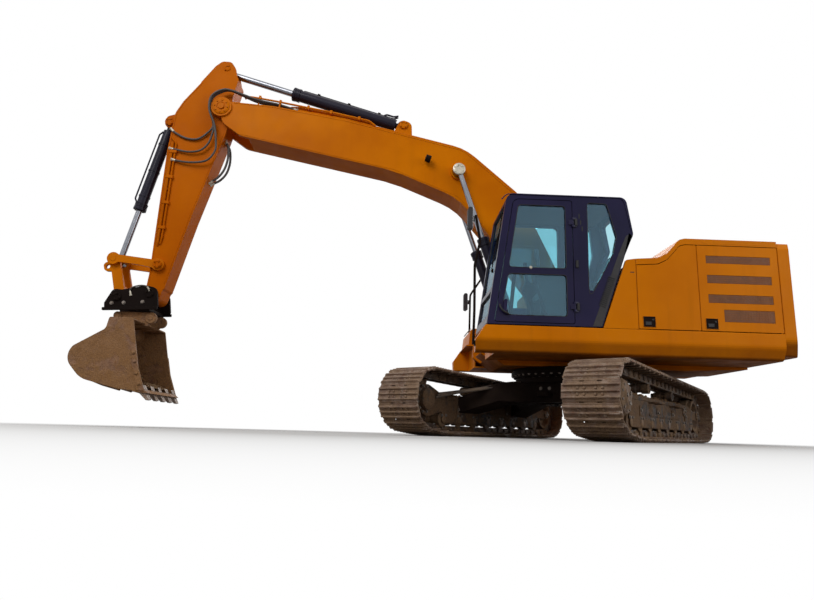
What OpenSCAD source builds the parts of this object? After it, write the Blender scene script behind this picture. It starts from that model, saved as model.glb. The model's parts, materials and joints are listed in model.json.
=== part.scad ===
// Crawler excavator of the 20 to 22 tonne class, in millimetres.
// +X points forward along the boom, +Y to the cab side, +Z up. The tracks stand on z = 0.
// Points of the upper structure are given as [x, z] in the plane of the boom, measured from
// the slew axis; the whole model is then moved so that its footprint is centred on the origin.

/* [Tracks] */
// Direction in which the idler ends of the tracks point, turned from the boom
track_heading = -128; // [-180:1:180]
// Distance between the middles of the two tracks
track_gauge = 2380; // [2200:10:2600]
// Width of a track shoe
shoe_width = 600; // [500:10:700]
// Number of shoes on one track
shoe_count = 49; // [45:1:53]
// Thickness from the pin line of the chain to the outer face of a shoe
shoe_offset = 60; // [50:1:70]
// Height of a grouser bar over its shoe
grouser_height = 26; // [15:1:35]
// Distance between the sprocket's and the idler's axles
axle_distance = 3660; // [3400:10:3900]
// Teeth of a sprocket, two for each link
sprocket_teeth = 21; // [19:2:25]
// Radius of the chain's pin line round the idler
idler_pitch_radius = 288; // [260:1:320]
// Height of the chain rail over its pin line
rail_height = 48; // [40:1:55]
// Width of one chain rail
rail_width = 36; // [25:1:45]
// Distance between the middles of the two rails of a chain
rail_spacing = 185; // [165:1:210]
// Number of lower rollers on one side
roller_count = 8; // [6:1:9]
// Radius of a lower roller's tread
roller_radius = 78; // [65:1:90]

/* [Carbody] */
// Clear height under the carbody
ground_clearance = 470; // [400:5:550]
// Height of the carbody's top plate
carbody_top = 730; // [680:5:790]
// Half width of the carbody's middle box, along and across the tracks
carbody_half = 560; // [480:5:640]
// Width of a track frame's box beam
frame_width = 300; // [290:5:340]
// Outer radius of the slewing ring
slew_ring_radius = 690; // [600:5:760]
// Running gap between the turning and the standing half of the slewing ring
slew_gap = 8; // [5:1:15]

/* [Platform] */
// Half width of the upper structure
body_half = 1370; // [1250:5:1450]
// Height of the deck, which is the top of the side sills
deck_z = 1317; // [1280:1:1360]
// Height of a side sill's lower edge
sill_z = 995; // [950:1:1050]
// Front end of the side sills
sill_front = 1390; // [1300:5:1450]
// Height of the middle frame's belly over the ground
belly_z = 930; // [900:1:960]
// Half width of the middle frame
mid_frame_half = 520; // [440:5:600]
// Radius that the rear end swings through
tail_swing = 2830; // [2700:5:2950]
// Front face of the counterweight, behind the slew axis
counterweight_front = 2335; // [2250:5:2420]
// Height of the counterweight's lower face
counterweight_z = 1060; // [1000:5:1120]

/* [Engine house] */
// Height of the hood
hood_z = 2470; // [2350:5:2600]
// Height of the step in front of the hood
step_z = 2190; // [2100:5:2300]
// Distance of the seam in front of the pump door, behind the slew axis
seam_front = 560; // [500:5:640]
// Distance of the seam between the pump door and the cooler door
seam_middle = 1320; // [1220:5:1420]
// Thickness of a side door
door_thickness = 45; // [30:1:60]
// Gap between two panels
seam_gap = 8; // [5:1:12]
// Half width of the hood lid
hood_half = 820; // [700:10:950]

/* [Cab] */
// Outer face of the cab, from the machine's middle
cab_outer = 1375; // [1300:5:1450]
// Inner face of the cab, beside the boom
cab_inner = 435; // [425:5:480]
// Height of the cab's roof
cab_top = 2975; // [2850:5:3100]
// Thickness of the cab's walls and of its door
cab_wall = 62; // [45:1:80]
// Thickness of the glass
glass_thickness = 8; // [5:1:12]

/* [Boom and stick] */
// Pin distance of the boom
boom_length = 5680; // [5300:10:6000]
// Angle of the boom's pin line over the level
boom_angle = 30; // [20:0.5:40]
// Half width of the boom
boom_half = 240; // [200:5:280]
// Pin distance of the stick
stick_length = 2900; // [2500:10:3200]
// Angle of the stick's pin line, downwards from the level
stick_angle = 75.8; // [60:0.2:90]
// Half width of the stick
stick_half = 170; // [140:5:200]
// Radius of the main pins
pin_radius = 45; // [35:1:55]

/* [Cylinders] */
// Outer radius of a boom cylinder
boom_cylinder_radius = 70; // [60:1:72]
// Distance of the boom cylinders' middles from the boom's middle
boom_cylinder_y = 338; // [334:1:345]
// Outer radius of the stick cylinder
stick_cylinder_radius = 86; // [70:1:95]
// Outer radius of the bucket cylinder
bucket_cylinder_radius = 74; // [60:1:85]
// Length of a boom cylinder's barrel, from its pin to its gland
boom_barrel = 1610; // [1580:5:1630]
// Length of a boom cylinder's rod, from its pin to its piston
boom_rod = 1590; // [1570:5:1595]
// Length of the stick cylinder's barrel
stick_barrel_length = 1740; // [1650:5:1780]
// Length of the stick cylinder's rod
stick_rod_length = 1620; // [1580:5:1700]
// Length of the bucket cylinder's barrel
bucket_barrel_length = 1390; // [1360:5:1500]
// Length of the bucket cylinder's rod
bucket_rod_length = 1650; // [1620:5:1670]

/* [Bucket] */
// Width of the bucket
bucket_width = 1200; // [900:10:1400]
// Number of teeth
tooth_count = 5; // [3:1:7]
// Thickness of the bucket's shell
bucket_shell = 22; // [15:1:35]
// Half width of the quick coupler over its side plates
coupler_half = 272; // [268:1:290]

/* [Hidden] */
$fn = 48;

paint = [0.93, 0.52, 0.07];
dark_paint = [0.10, 0.10, 0.14];
black_paint = [0.07, 0.07, 0.08];
worn_steel = [0.42, 0.33, 0.26];
earth_steel = [0.36, 0.25, 0.17];
chrome = [0.75, 0.77, 0.80];
glass_tint = [0.35, 0.60, 0.65, 0.4];

// Clearance of a pin in its bore, and of a panel from the frame that carries it
pin_clear = 0.5;
seat_clear = 0.3;
// Side gap between two eyes on one pin
eye_gap = 8;
// Largest turn between two points of a rounded corner
arc_step = 11;

// Pins of the arm as [x, z]
function polar(length, angle) = length * [cos(angle), sin(angle)];
boom_foot = [50, 1750];
boom_tip = boom_foot + polar(boom_length, boom_angle);
stick_nose = boom_tip + polar(stick_length, -stick_angle);
function on_boom(p) = boom_foot + [
    p[0] * cos(boom_angle) - p[1] * sin(boom_angle), p[0] * sin(boom_angle) + p[1] * cos(boom_angle)];
function on_stick(p) = boom_tip + [
    p[0] * cos(stick_angle) + p[1] * sin(stick_angle), -p[0] * sin(stick_angle) + p[1] * cos(stick_angle)];
boom_cylinder_foot = [640, 1180];
eye_local = [2240, 970];
boom_cylinder_eye = on_boom(eye_local);
stick_foot_local = [3330, 1250];
stick_cylinder_foot = on_boom(stick_foot_local);
tail_local = [-655, 160];
stick_cylinder_eye = on_stick(tail_local);
foot_local = [380, 705];
bucket_cylinder_foot = on_stick(foot_local);
link_local = [2480, 60];
link_pin = on_stick(link_local);
link_top = stick_nose + [570, 490];
coupler_pin = stick_nose + [430, -60];

centre_x = (link_top[0] + 155 - tail_swing) / 2;

// Rounded outlines: each point is [x, y, corner radius]
function unit(v) = v / norm(v);
function turn_between(a, b) = (b - a) - 360 * floor((b - a + 180) / 360);
function corner(before, point, after, radius) =
    let (u = unit(before - point), w = unit(after - point), half = acos(u * w) / 2,
         middle = point + unit(u + w) * radius / sin(half), p = point + u * radius / tan(half),
         q = point + w * radius / tan(half), start = atan2(p[1] - middle[1], p[0] - middle[0]),
         turn = turn_between(start, atan2(q[1] - middle[1], q[0] - middle[0])),
         count = max(1, ceil(abs(turn) / arc_step)))
    [for (i = [0:count]) middle + polar(radius, start + turn * i / count)];
function flat(p) = [p[0], p[1]];
function rounded(points) =
    let (n = len(points))
    [for (i = [0:n - 1])
        let (a = flat(points[(i + n - 1) % n]), b = flat(points[i]), c = flat(points[(i + 1) % n]))
        each points[i][2] == 0 ? [b] : corner(a, b, c, points[i][2])];
// The same outline moved inwards, for points that run anticlockwise
function inset(points, depth) =
    let (n = len(points))
    [for (i = [0:n - 1])
        let (a = flat(points[(i + n - 1) % n]), b = flat(points[i]), c = flat(points[(i + 1) % n]),
             u = unit(b - a), w = unit(c - b), nu = [-u[1], u[0]], nw = [-w[1], w[0]],
             m = (nu + nw) / (1 + nu * nw), q = b + m * depth)
        [q[0], q[1], max(0, points[i][2] - depth)]];
module outline(points) polygon(rounded(points));

module centred() translate([-centre_x, 0, 0]) children();
// A flat shape in the [x, z] plane, made solid from y = low to y = high
module across(low, high)
    translate([0, high, 0]) rotate([90, 0, 0]) linear_extrude(height = high - low) children();
// A flat shape in the [y, z] plane, made solid from x = low to x = high
module along(low, high)
    translate([low, 0, 0]) rotate([90, 0, 90]) linear_extrude(height = high - low) children();
module round_bar(p, radius, low, high) across(low, high) translate(p) circle(radius);
module both_sides() {
    children();
    mirror([0, 1, 0]) children();
}
module box(low, high) translate(low) cube(high - low);
// Moves what is drawn from [0, 0] along +X onto a line from p to q
module from_to(p, q) translate([p[0], 0, p[1]])
    rotate([0, -atan2(q[1] - p[1], q[0] - p[0]), 0]) children();

// Undercarriage
track_z = shoe_offset + grouser_height;
link_pitch_angle = 360 / sprocket_teeth * 2;
nominal_pitch = 188;
sprocket_pitch_radius = nominal_pitch / (2 * sin(link_pitch_angle / 2));
sprocket_x = -axle_distance / 2;
idler_x = axle_distance / 2;
sprocket_z = track_z + sprocket_pitch_radius + 45;
idler_z = track_z + idler_pitch_radius + 12;
roller_z = track_z + rail_height + roller_radius;
roller_first_x = sprocket_x + 440;
roller_last_x = idler_x - 460;
// Circles that the chain's pin line runs round, anticlockwise: [x, z, radius]
chain_circles = [
    [sprocket_x, sprocket_z, sprocket_pitch_radius],
    [roller_first_x, roller_z, roller_radius + rail_height],
    [roller_last_x, roller_z, roller_radius + rail_height],
    [idler_x, idler_z, idler_pitch_radius]];
function chain_circle(i) = chain_circles[(i + 4) % 4];
function chain_step(i) = flat(chain_circle(i + 1)) - flat(chain_circle(i));
// Direction of the outward normal on the straight run that leaves circle i
function run_normal(i) = let (d = chain_step(i))
    atan2(d[1], d[0]) - acos((chain_circle(i)[2] - chain_circle(i + 1)[2]) / norm(d));
function run_length(i) = let (d = chain_step(i), r = chain_circle(i)[2] - chain_circle(i + 1)[2])
    sqrt(d * d - r * r);
function wrap_angle(i) = let (t = run_normal(i) - run_normal(i - 1)) t - 360 * floor(t / 360);
function wrap_length(i) = chain_circle(i)[2] * wrap_angle(i) * PI / 180;
function part_length(k) = k % 2 == 0 ? wrap_length(floor(k / 2)) : run_length(floor(k / 2));
chain_length = part_length(0) + part_length(1) + part_length(2) + part_length(3)
    + part_length(4) + part_length(5) + part_length(6) + part_length(7);
shoe_pitch = chain_length / shoe_count;
// Place on the pin line at a distance along it: [x, z, direction of the outward normal]
function chain_at(s, k = 0) = s > part_length(k) && k < 7 ? chain_at(s - part_length(k), k + 1) :
    let (i = floor(k / 2), c = chain_circle(i), before = run_normal(i - 1), after = run_normal(i))
    k % 2 == 0
        ? let (a = before + s / c[2] * 180 / PI, p = flat(c) + polar(c[2], a)) [p[0], p[1], a]
        : let (p = flat(c) + polar(c[2], after) + polar(s, after + 90)) [p[0], p[1], after];
// A point of shoe number i: along is measured from the shoe's middle, out from the pin line
function on_shoe(i, along, out) =
    let (a = chain_at(i * shoe_pitch), b = chain_at(((i + 1) % shoe_count) * shoe_pitch),
         middle = (flat(a) + flat(b)) / 2, u = unit(flat(b) - flat(a)))
    middle + u * along + [u[1], -u[0]] * out;
grouser_places = [-0.33, 0.02, 0.36];
grouser_foot = 16;
grouser_tip = 7;
shoe_gap = 3;
function shoe_outline(i) = [
    for (g = grouser_places, k = [[-grouser_foot, 0], [-grouser_tip, 1], [grouser_tip, 1], [grouser_foot, 0]])
        on_shoe(i, g * shoe_pitch + k[0], shoe_offset + k[1] * grouser_height)];

module chain_rail(y) across(y - rail_width / 2, y + rail_width / 2) difference() {
    polygon([for (i = [0:shoe_count - 1]) on_shoe(i, -shoe_pitch / 2, shoe_offset - 20)]);
    polygon([for (i = [0:shoe_count - 1]) on_shoe(i, -shoe_pitch / 2, -rail_height)]);
}
module shoe_belt() across(-shoe_width / 2, shoe_width / 2) difference() {
    polygon([for (i = [0:shoe_count - 1]) each shoe_outline(i)]);
    polygon([for (i = [0:shoe_count - 1]) on_shoe(i, -shoe_pitch / 2, shoe_offset - 20)]);
}
module track() {
    shoe_belt();
    for (side = [-1, 1]) chain_rail(side * rail_spacing / 2);
}
module undercarriage() centred() rotate([0, 0, track_heading]) children();
module on_track(side) translate([0, side * track_gauge / 2, 0]) children();
module each_track() for (side = [-1, 1]) on_track(side) scale_side(side) children();
// Drawn with +Y outboard, for either side
module scale_side(side) mirror([0, side < 0 ? 1 : 0, 0]) children();

module track_left() color(worn_steel) undercarriage() on_track(1) track();
module track_right() color(worn_steel) undercarriage() on_track(-1) track();

axle_radius = 40;
wheel_bore = axle_radius + seat_clear;
frame_half = frame_width / 2;
frame_top = 510;
frame_low = 290;
axle_plate = 24;
module roller(tread, flange, half_length) rotate([90, 0, 0]) rotate_extrude() polygon([
    [wheel_bore, -half_length], [flange - 10, -half_length], [flange, -half_length + 6],
    [flange, -half_length + 16], [tread, -half_length + 19], [tread, -32], [tread - 16, -24],
    [tread - 16, 24], [tread, 32], [tread, half_length - 19], [flange, half_length - 16],
    [flange, half_length - 6], [flange - 10, half_length], [wheel_bore, half_length]]);
roller_half = rail_spacing / 2 + rail_width / 2 + 22;
carrier_half = roller_half - 12;
function roller_x(i) = roller_first_x + (roller_last_x - roller_first_x) * i / (roller_count - 1);
carrier_z = function (x) let (a = run_normal(3),
    p = flat(chain_circle(3)) + polar(idler_pitch_radius - rail_height - carrier_radius - 1, a),
    u = polar(1, a + 90)) p[1] + u[1] / u[0] * (x - p[0]);
carrier_radius = 60;
carrier_places = [-520, 560];

module lower_rollers() color(worn_steel) undercarriage() each_track()
    for (i = [0:roller_count - 1]) translate([roller_x(i), 0, roller_z - 1])
        roller(roller_radius - 6, roller_radius + 18, roller_half);
module carrier_rollers() color(worn_steel) undercarriage() each_track()
    for (x = carrier_places) translate([x, 0, carrier_z(x)])
        roller(carrier_radius, carrier_radius, carrier_half);

// Distance from the idler's axle to the flat middle of a link, and to the rails on it
idler_flat = sqrt(pow(idler_pitch_radius, 2) - pow(shoe_pitch / 2, 2));
idler_rim = norm([idler_flat - rail_height, shoe_pitch / 2]) * idler_flat / idler_pitch_radius - 1;
idler_half = rail_spacing / 2 + 14;
module idlers() color(worn_steel) undercarriage() each_track()
    translate([idler_x, 0, idler_z]) rotate([90, 0, 0]) rotate_extrude() polygon([
        [wheel_bore, -70], [90, -70], [100, -30], [idler_rim - 60, -24], [idler_rim - 40, -idler_half],
        [idler_rim, -idler_half], [idler_rim, -52], [idler_rim + 20, -44], [idler_rim + 20, 44],
        [idler_rim, 52], [idler_rim, idler_half], [idler_rim - 40, idler_half], [idler_rim - 60, 24],
        [100, 30], [90, 70], [wheel_bore, 70]]);

tooth_root = sprocket_pitch_radius - 34;
tooth_tip = sprocket_pitch_radius + 12;
hub_radius = 205;
module sprockets() color(worn_steel) undercarriage() each_track()
    translate([sprocket_x, 0, sprocket_z]) across(-28, 28) difference() {
        polygon([for (i = [0:sprocket_teeth - 1], k = [[-0.36, 0], [-0.14, 1], [0.14, 1], [0.36, 0]])
            polar(k[1] == 0 ? tooth_root : tooth_tip, (i + k[0]) * 360 / sprocket_teeth)]);
        circle(hub_radius + seat_clear);
        for (i = [0:7]) rotate(22.5 + i * 45) translate([hub_radius + 42, 0]) circle(14);
    }
hub_outer = 268;
drive_face = -frame_half + axle_plate * 2 + seat_clear;
module final_drives() color(worn_steel) undercarriage() each_track()
    translate([sprocket_x, 0, sprocket_z]) rotate([-90, 0, 0]) rotate_extrude() polygon([
        [0, drive_face], [150, drive_face], [150, -60], [hub_radius, -60],
        [hub_radius, 30], [hub_radius + 30, 40], [hub_radius + 30, 70], [hub_radius - 10, 90],
        [hub_radius - 10, 200], [hub_radius - 40, 245], [110, 262], [100, hub_outer], [0, hub_outer]]);

// Inner race of the slewing ring, round which the outer race turns
inner_ring_base = 70;
race_radius = slew_ring_radius - 130;
race_height = 90;
race_clear = 0.5;
// Towing eyes between the tracks, at both ends of the carbody: flat plates with an upright hole
tow_eye_x = carbody_half + 60;
tow_z = 550;
tow_bore = 26;
tow_plate = 50;
tow_half = 75;
module tow_lug() translate([0, 0, tow_z]) linear_extrude(height = tow_plate) difference() {
    outline([
        [carbody_half - 5, -tow_half - 40, 0], [tow_eye_x + 60, -tow_half + 10, 55],
        [tow_eye_x + 60, tow_half - 10, 55], [carbody_half - 5, tow_half + 40, 0]]);
    translate([tow_eye_x, 0]) circle(tow_bore);
}
module carbody() color(black_paint) undercarriage() {
    difference() {
        union() {
            along(-carbody_half, carbody_half) outline([
                [-carbody_half, ground_clearance + 60, 20], [-carbody_half + 90, ground_clearance, 60],
                [carbody_half - 90, ground_clearance, 60], [carbody_half, ground_clearance + 60, 20],
                [carbody_half, carbody_top, 30], [-carbody_half, carbody_top, 30]]);
            for (side = [-1, 1], end = [-1, 1]) carbody_leg(side, end);
            for (end = [-1, 1]) mirror([end < 0 ? 1 : 0, 0, 0]) tow_lug();
        }
        translate([0, 0, ground_clearance - 1]) cylinder(r = 300, h = 140);
    }
    translate([0, 0, carbody_top]) difference() {
        union() {
            cylinder(r = slew_ring_radius - 60, h = inner_ring_base, $fn = 96);
            cylinder(r = race_radius, h = inner_ring_base + race_height, $fn = 96);
        }
        translate([0, 0, -1]) cylinder(r = race_radius - 80, h = 200, $fn = 96);
    }
}
// One leg from the carbody's corner out to a track frame, thinner towards the frame
leg_reach = track_gauge / 2 - frame_half;
leg_foot_x = 780;
module carbody_leg(side, end) scale_side(side) mirror([end < 0 ? 1 : 0, 0, 0])
    intersection() {
        linear_extrude(height = carbody_top) polygon([
            [120, carbody_half - 60], [carbody_half, 120], [leg_foot_x + 260, leg_reach],
            [leg_foot_x - 260, leg_reach]]);
        along(0, leg_foot_x + 300) polygon([
            [0, ground_clearance], [carbody_half, ground_clearance + 10], [leg_reach, frame_low + 20],
            [leg_reach, frame_top], [carbody_half, carbody_top - 6], [0, carbody_top - 6]]);
    }

// Box beam of a track, with the idler's yoke in front and the final drive's plate behind
yoke_inner = idler_half + 4;
guard_plate = 14;
module track_frames() color(black_paint) undercarriage() each_track() {
    difference() {
        union() {
            across(-frame_half, frame_half) outline([
                [roller_first_x - 60, frame_low, 30], [roller_last_x + 90, frame_low, 30],
                [roller_last_x + 90, frame_top - 70, 40], [roller_last_x - 100, frame_top, 60],
                [roller_first_x - 60, frame_top, 40]]);
            // Rock guards beside the lower rollers
            for (y = [-frame_half, frame_half - guard_plate]) across(y, y + guard_plate) outline([
                [roller_first_x - 60, frame_low + 40, 10], [roller_first_x, roller_z - 50, 40],
                [roller_last_x, roller_z - 50, 40], [roller_last_x + 90, frame_low + 40, 10]]);
        }
        // Room for the rollers
        across(-frame_half + guard_plate, frame_half - guard_plate) polygon([
            [roller_first_x - 150, 0], [roller_last_x + 140, 0],
            [roller_last_x + 140, roller_z + roller_radius + 24],
            [roller_first_x - 150, roller_z + roller_radius + 24]]);
    }
    // Yoke that holds the idler's axle
    for (side = [-1, 1]) scale_side(side) across(yoke_inner, yoke_inner + axle_plate) outline([
        [roller_last_x + 20, idler_z - 60, 10], [idler_x + 60, idler_z - 70, 50],
        [idler_x + 60, idler_z + 70, 50], [roller_last_x + 20, idler_z + 50, 10]]);
    round_bar([idler_x, idler_z], axle_radius, -yoke_inner - 4, yoke_inner + 4);
    // Plate that carries the final drive
    across(-frame_half, -frame_half + axle_plate * 2) outline([
        [roller_first_x, frame_low + 30, 10], [sprocket_x, sprocket_z - 230, 200],
        [sprocket_x - 200, sprocket_z, 150], [sprocket_x, sprocket_z + 215, 180],
        [roller_first_x, frame_top, 10]]);
    // Axles of the rollers
    for (i = [0:roller_count - 1])
        round_bar([roller_x(i), roller_z - 1], axle_radius, -frame_half + 2, frame_half - 2);
    for (x = carrier_places) {
        round_bar([x, carrier_z(x)], axle_radius, -carrier_half - 12, carrier_half + 4);
        across(-carrier_half - 4 - axle_plate, -carrier_half - 4) outline([
            [x - 70, frame_top - 50, 0], [x + 70, frame_top - 50, 0],
            [x + 45, carrier_z(x) + 45, 30], [x - 45, carrier_z(x) + 45, 30]]);
    }
}

// Slewing ring: the outer race turns with the platform
outer_ring_z = carbody_top + inner_ring_base + slew_gap;
module slew_ring() color(black_paint) centred() difference() {
    union() {
        translate([0, 0, outer_ring_z])
            cylinder(r = slew_ring_radius - 30, h = belly_z - seat_clear - outer_ring_z, $fn = 96);
        translate([0, 0, outer_ring_z + 34]) cylinder(r = slew_ring_radius, h = 46, $fn = 96);
    }
    translate([0, 0, carbody_top]) cylinder(r = race_radius + race_clear, h = 400, $fn = 96);
}

// Platform with its side sills, middle frame and boom brackets
boom_bracket_half = boom_half + 12;
bracket_plate = 40;
tail_plate_x = -counterweight_front + seat_clear;
module sill() along(tail_plate_x, sill_front) outline([
    [body_half - 190, sill_z, 20], [body_half - 70, sill_z, 60], [body_half, sill_z + 150, 150],
    [body_half, deck_z, 12], [body_half - 190, deck_z, 0]]);
module platform() color(paint) centred() {
    platform_frame();
    // Clevises of the boom cylinders
    both_sides() for (s = [-1, 1]) boom_cylinder_ear(s);
    both_sides() round_bar(boom_cylinder_foot, pin_radius,
        boom_cylinder_y - clevis_half - 20, boom_cylinder_y + clevis_half + 20);
    // Mounts under the cab
    for (x = [-40, 1150], y = [cab_inner + 120, cab_outer - 120]) translate([x, y, deck_z - 5])
        cylinder(r = 60, h = cab_foot_z - seat_clear - deck_z + 5);
    // Lower pivots of the side doors
    both_sides() for (p = door_pivots) translate([p[0], p[1], deck_z - 20])
        cylinder(r = pivot_radius, h = 20 + seam_gap + pivot_depth);
}
module platform_frame() difference() {
    union() {
        both_sides() sill();
        // Deck plate and belly plates
        box([tail_plate_x, -body_half + 150, deck_z - 20], [sill_front - 10, body_half - 150, deck_z]);
        both_sides() box([tail_plate_x, mid_frame_half - 10, sill_z], [1150, body_half - 150, sill_z + 16]);
        both_sides() box([1134, mid_frame_half - 10, sill_z], [1150, body_half - 150, deck_z]);
        // Middle frame
        across(-mid_frame_half, mid_frame_half) outline([
            [tail_plate_x, belly_z + 40, 0], [-1500, belly_z, 100], [900, belly_z, 60],
            [1180, belly_z + 190, 60], [1180, deck_z, 0], [tail_plate_x, deck_z, 0]]);
        // Uprights that carry the boom's foot
        both_sides() across(boom_bracket_half, boom_bracket_half + bracket_plate) outline([
            [-555, deck_z - 10, 0], [500, deck_z - 10, 0], [460, 1500, 120],
            [boom_foot[0] + 170, boom_foot[1] + 150, 150], [boom_foot[0] - 170, boom_foot[1] + 150, 150],
            [-530, deck_z + 120, 80]]);
        both_sides() round_bar(boom_foot, 100, boom_bracket_half, boom_bracket_half + bracket_plate + 16);
        round_bar(boom_foot, pin_radius, -boom_bracket_half - 30, boom_bracket_half + 30);
    }
    // Wells in which the boom cylinders swing
    both_sides() across(boom_cylinder_y - well_half, boom_cylinder_y + well_half) outline([
        [boom_cylinder_foot[0] - 230, boom_cylinder_foot[1] - 130, 80],
        [sill_front + 60, boom_cylinder_foot[1] - 130, 0], [sill_front + 60, deck_z + 60, 0],
        [boom_cylinder_foot[0] - 230, deck_z + 60, 0]]);
    // Notch in front of the boom's foot, for the boom when it is down
    across(-boom_bracket_half, boom_bracket_half) polygon([
        [620, deck_z + 1], [1200, 1110], [sill_front + 60, 1040], [sill_front + 60, deck_z + 1]]);
    // Slanted front ends of the sills
    across(-body_half - 1, body_half + 1) polygon([
        [sill_front - 115, deck_z + 1], [sill_front + 1, deck_z - 175], [sill_front + 1, deck_z + 1]]);
}
eye_half = 45;
clevis_half = eye_half + eye_gap;
ear_plate = 28;
well_half = boom_cylinder_radius + 24;
module boom_cylinder_ear(s) across(
    boom_cylinder_y + s * (clevis_half + ear_plate / 2) - ear_plate / 2,
    boom_cylinder_y + s * (clevis_half + ear_plate / 2) + ear_plate / 2)
    outline([
        [boom_cylinder_foot[0] - 240, boom_cylinder_foot[1] - 140, 0],
        [boom_cylinder_foot[0] + 100, boom_cylinder_foot[1] - 105, 95],
        [boom_cylinder_foot[0] + 100, boom_cylinder_foot[1] + 95, 95],
        [boom_cylinder_foot[0] - 70, boom_cylinder_foot[1] + 92, 60],
        [boom_cylinder_foot[0] - 240, deck_z - 10, 0]]);

// Counterweight: plan, side and end outlines cut from one block
tail_side_x = -sqrt(tail_swing * tail_swing - body_half * body_half);
module counterweight() color(paint) centred() intersection() {
    translate([0, 0, counterweight_z - 10]) linear_extrude(height = hood_z) intersection() {
        circle(tail_swing, $fn = 180);
        outline([
            [-counterweight_front, -body_half, 0], [-counterweight_front, body_half, 0],
            [tail_side_x - 90, body_half, 140], [-tail_swing - 200, body_half - 320, 60],
            [-tail_swing - 200, -body_half + 320, 60], [tail_side_x - 90, -body_half, 140]]);
    }
    across(-body_half - 1, body_half + 1) outline([
        [-counterweight_front, counterweight_z - 60, 0], [-counterweight_front, hood_z, 0],
        [-tail_swing + 150, hood_z, 60], [-tail_swing + 75, hood_z - 110, 100],
        [-tail_swing + 60, 1700, 120], [-tail_swing, 1620, 60],
        [-tail_swing, counterweight_z + 190, 120], [-tail_swing + 260, counterweight_z - 10, 140]]);
    along(-tail_swing - 1, 0) outline([
        [-body_half + 130, counterweight_z, 60], [body_half - 130, counterweight_z, 60],
        [body_half, counterweight_z + 160, 150], [body_half, hood_z - 90, 50],
        [body_half - 60, hood_z, 50], [-body_half + 60, hood_z, 50], [-body_half, hood_z - 90, 50],
        [-body_half, counterweight_z + 160, 150]]);
}

// Engine house: its side outline over the deck, from the front seam back to the counterweight
skirt = 75;
house_outline = [
    [-seam_front, step_z, 0], [-830, step_z + 20, 90], [-950, step_z + 80, 120],
    [-1110, hood_z - 20, 60], [-1180, hood_z, 60], [-counterweight_front + seam_gap, hood_z, 0]];
function lowered(points, depth) = [for (p = points) [p[0], p[1] - depth, p[2]]];
module engine_deck() color(paint) centred() {
    difference() {
        union() {
            across(-body_half, body_half) top_strip(deck_sheet);
            both_sides() across(body_half - 14, body_half) top_strip(skirt);
        }
        // Opening under the hood lid, and the long slots along the top edge
        box([hood_low_x, -hood_half, step_z], [hood_high_x, hood_half, hood_z + 1]);
        both_sides() box([-2230, body_half - 20, hood_z - 52], [-1400, body_half + 1, hood_z - 30]);
    }
    // Upper pivots of the side doors
    both_sides() for (p = door_pivots) translate([p[0], p[1], hood_z - skirt - seam_gap - pivot_depth])
        cylinder(r = pivot_radius, h = pivot_depth + seam_gap + 20);
    // Hinge lugs of the hood
    both_sides() {
        across(hood_hinge_y, hood_hinge_y + 16) outline([
            [hood_hinge[0] - 60, hood_z - 5, 0], [hood_hinge[0] + 6, hood_z - 5, 0],
            [hood_hinge[0] + 14, hood_hinge[1] + 14, 12], [hood_hinge[0] - 20, hood_hinge[1] + 14, 12]]);
        round_bar(hood_hinge, pivot_radius, hood_hinge_y - 28, hood_hinge_y + 1);
    }
}
deck_sheet = 16;
hood_rise = 34;
hood_low_x = -counterweight_front + 110;
hood_hinge = [hood_low_x + seam_gap - 14, hood_z + hood_rise + 16];
hood_hinge_y = 560;
hood_high_x = -seam_middle - 20;
module top_strip(depth) difference() {
    outline(concat(house_outline,
        [[-counterweight_front + seam_gap, step_z - 200, 0], [-seam_front, step_z - 200, 0]]));
    outline(concat(
        [[-seam_front + 10, step_z - depth, 0]], lowered(middle_of(house_outline), depth),
        [[-counterweight_front - 10, hood_z - depth, 0], [-counterweight_front - 10, step_z - 300, 0],
         [-seam_front + 10, step_z - 300, 0]]));
}
function middle_of(points) = [for (i = [1:len(points) - 2]) points[i]];

bulkhead_plate = 24;
bulkhead_half = body_half - door_thickness - 14;
module bulkhead(x, top) along(x - bulkhead_plate / 2, x + bulkhead_plate / 2) difference() {
    outline([
        [-bulkhead_half, deck_z + seat_clear, 0], [bulkhead_half, deck_z + seat_clear, 0],
        [bulkhead_half, top, 0], [-bulkhead_half, top, 0]]);
    outline([
        [-body_half + 190, deck_z + 120, 60], [body_half - 190, deck_z + 120, 60],
        [body_half - 190, top - 130, 60], [-body_half + 190, top - 130, 60]]);
}
module bulkheads() color(black_paint) centred() {
    bulkhead(-seam_front - 20, step_z - 16 - seat_clear);
    bulkhead(-seam_middle, hood_z - 16 - seat_clear);
    bulkhead(-counterweight_front + seam_gap + 16, hood_z - 16 - seat_clear);
}
module engine_block() color(black_paint) centred()
    box([-2150, -480, deck_z + seat_clear], [-1420, 560, deck_z + 850]);

// Pivot pins of the side doors, at their rear edges, on the left side
pivot_radius = 6;
pivot_depth = 25;
pivot_inset = [20, 10];
door_pivots = [for (edge = [-seam_middle + seam_gap / 2, -counterweight_front + seam_gap * 1.5])
    [edge + pivot_inset[0], body_half - pivot_inset[1]]];
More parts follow.
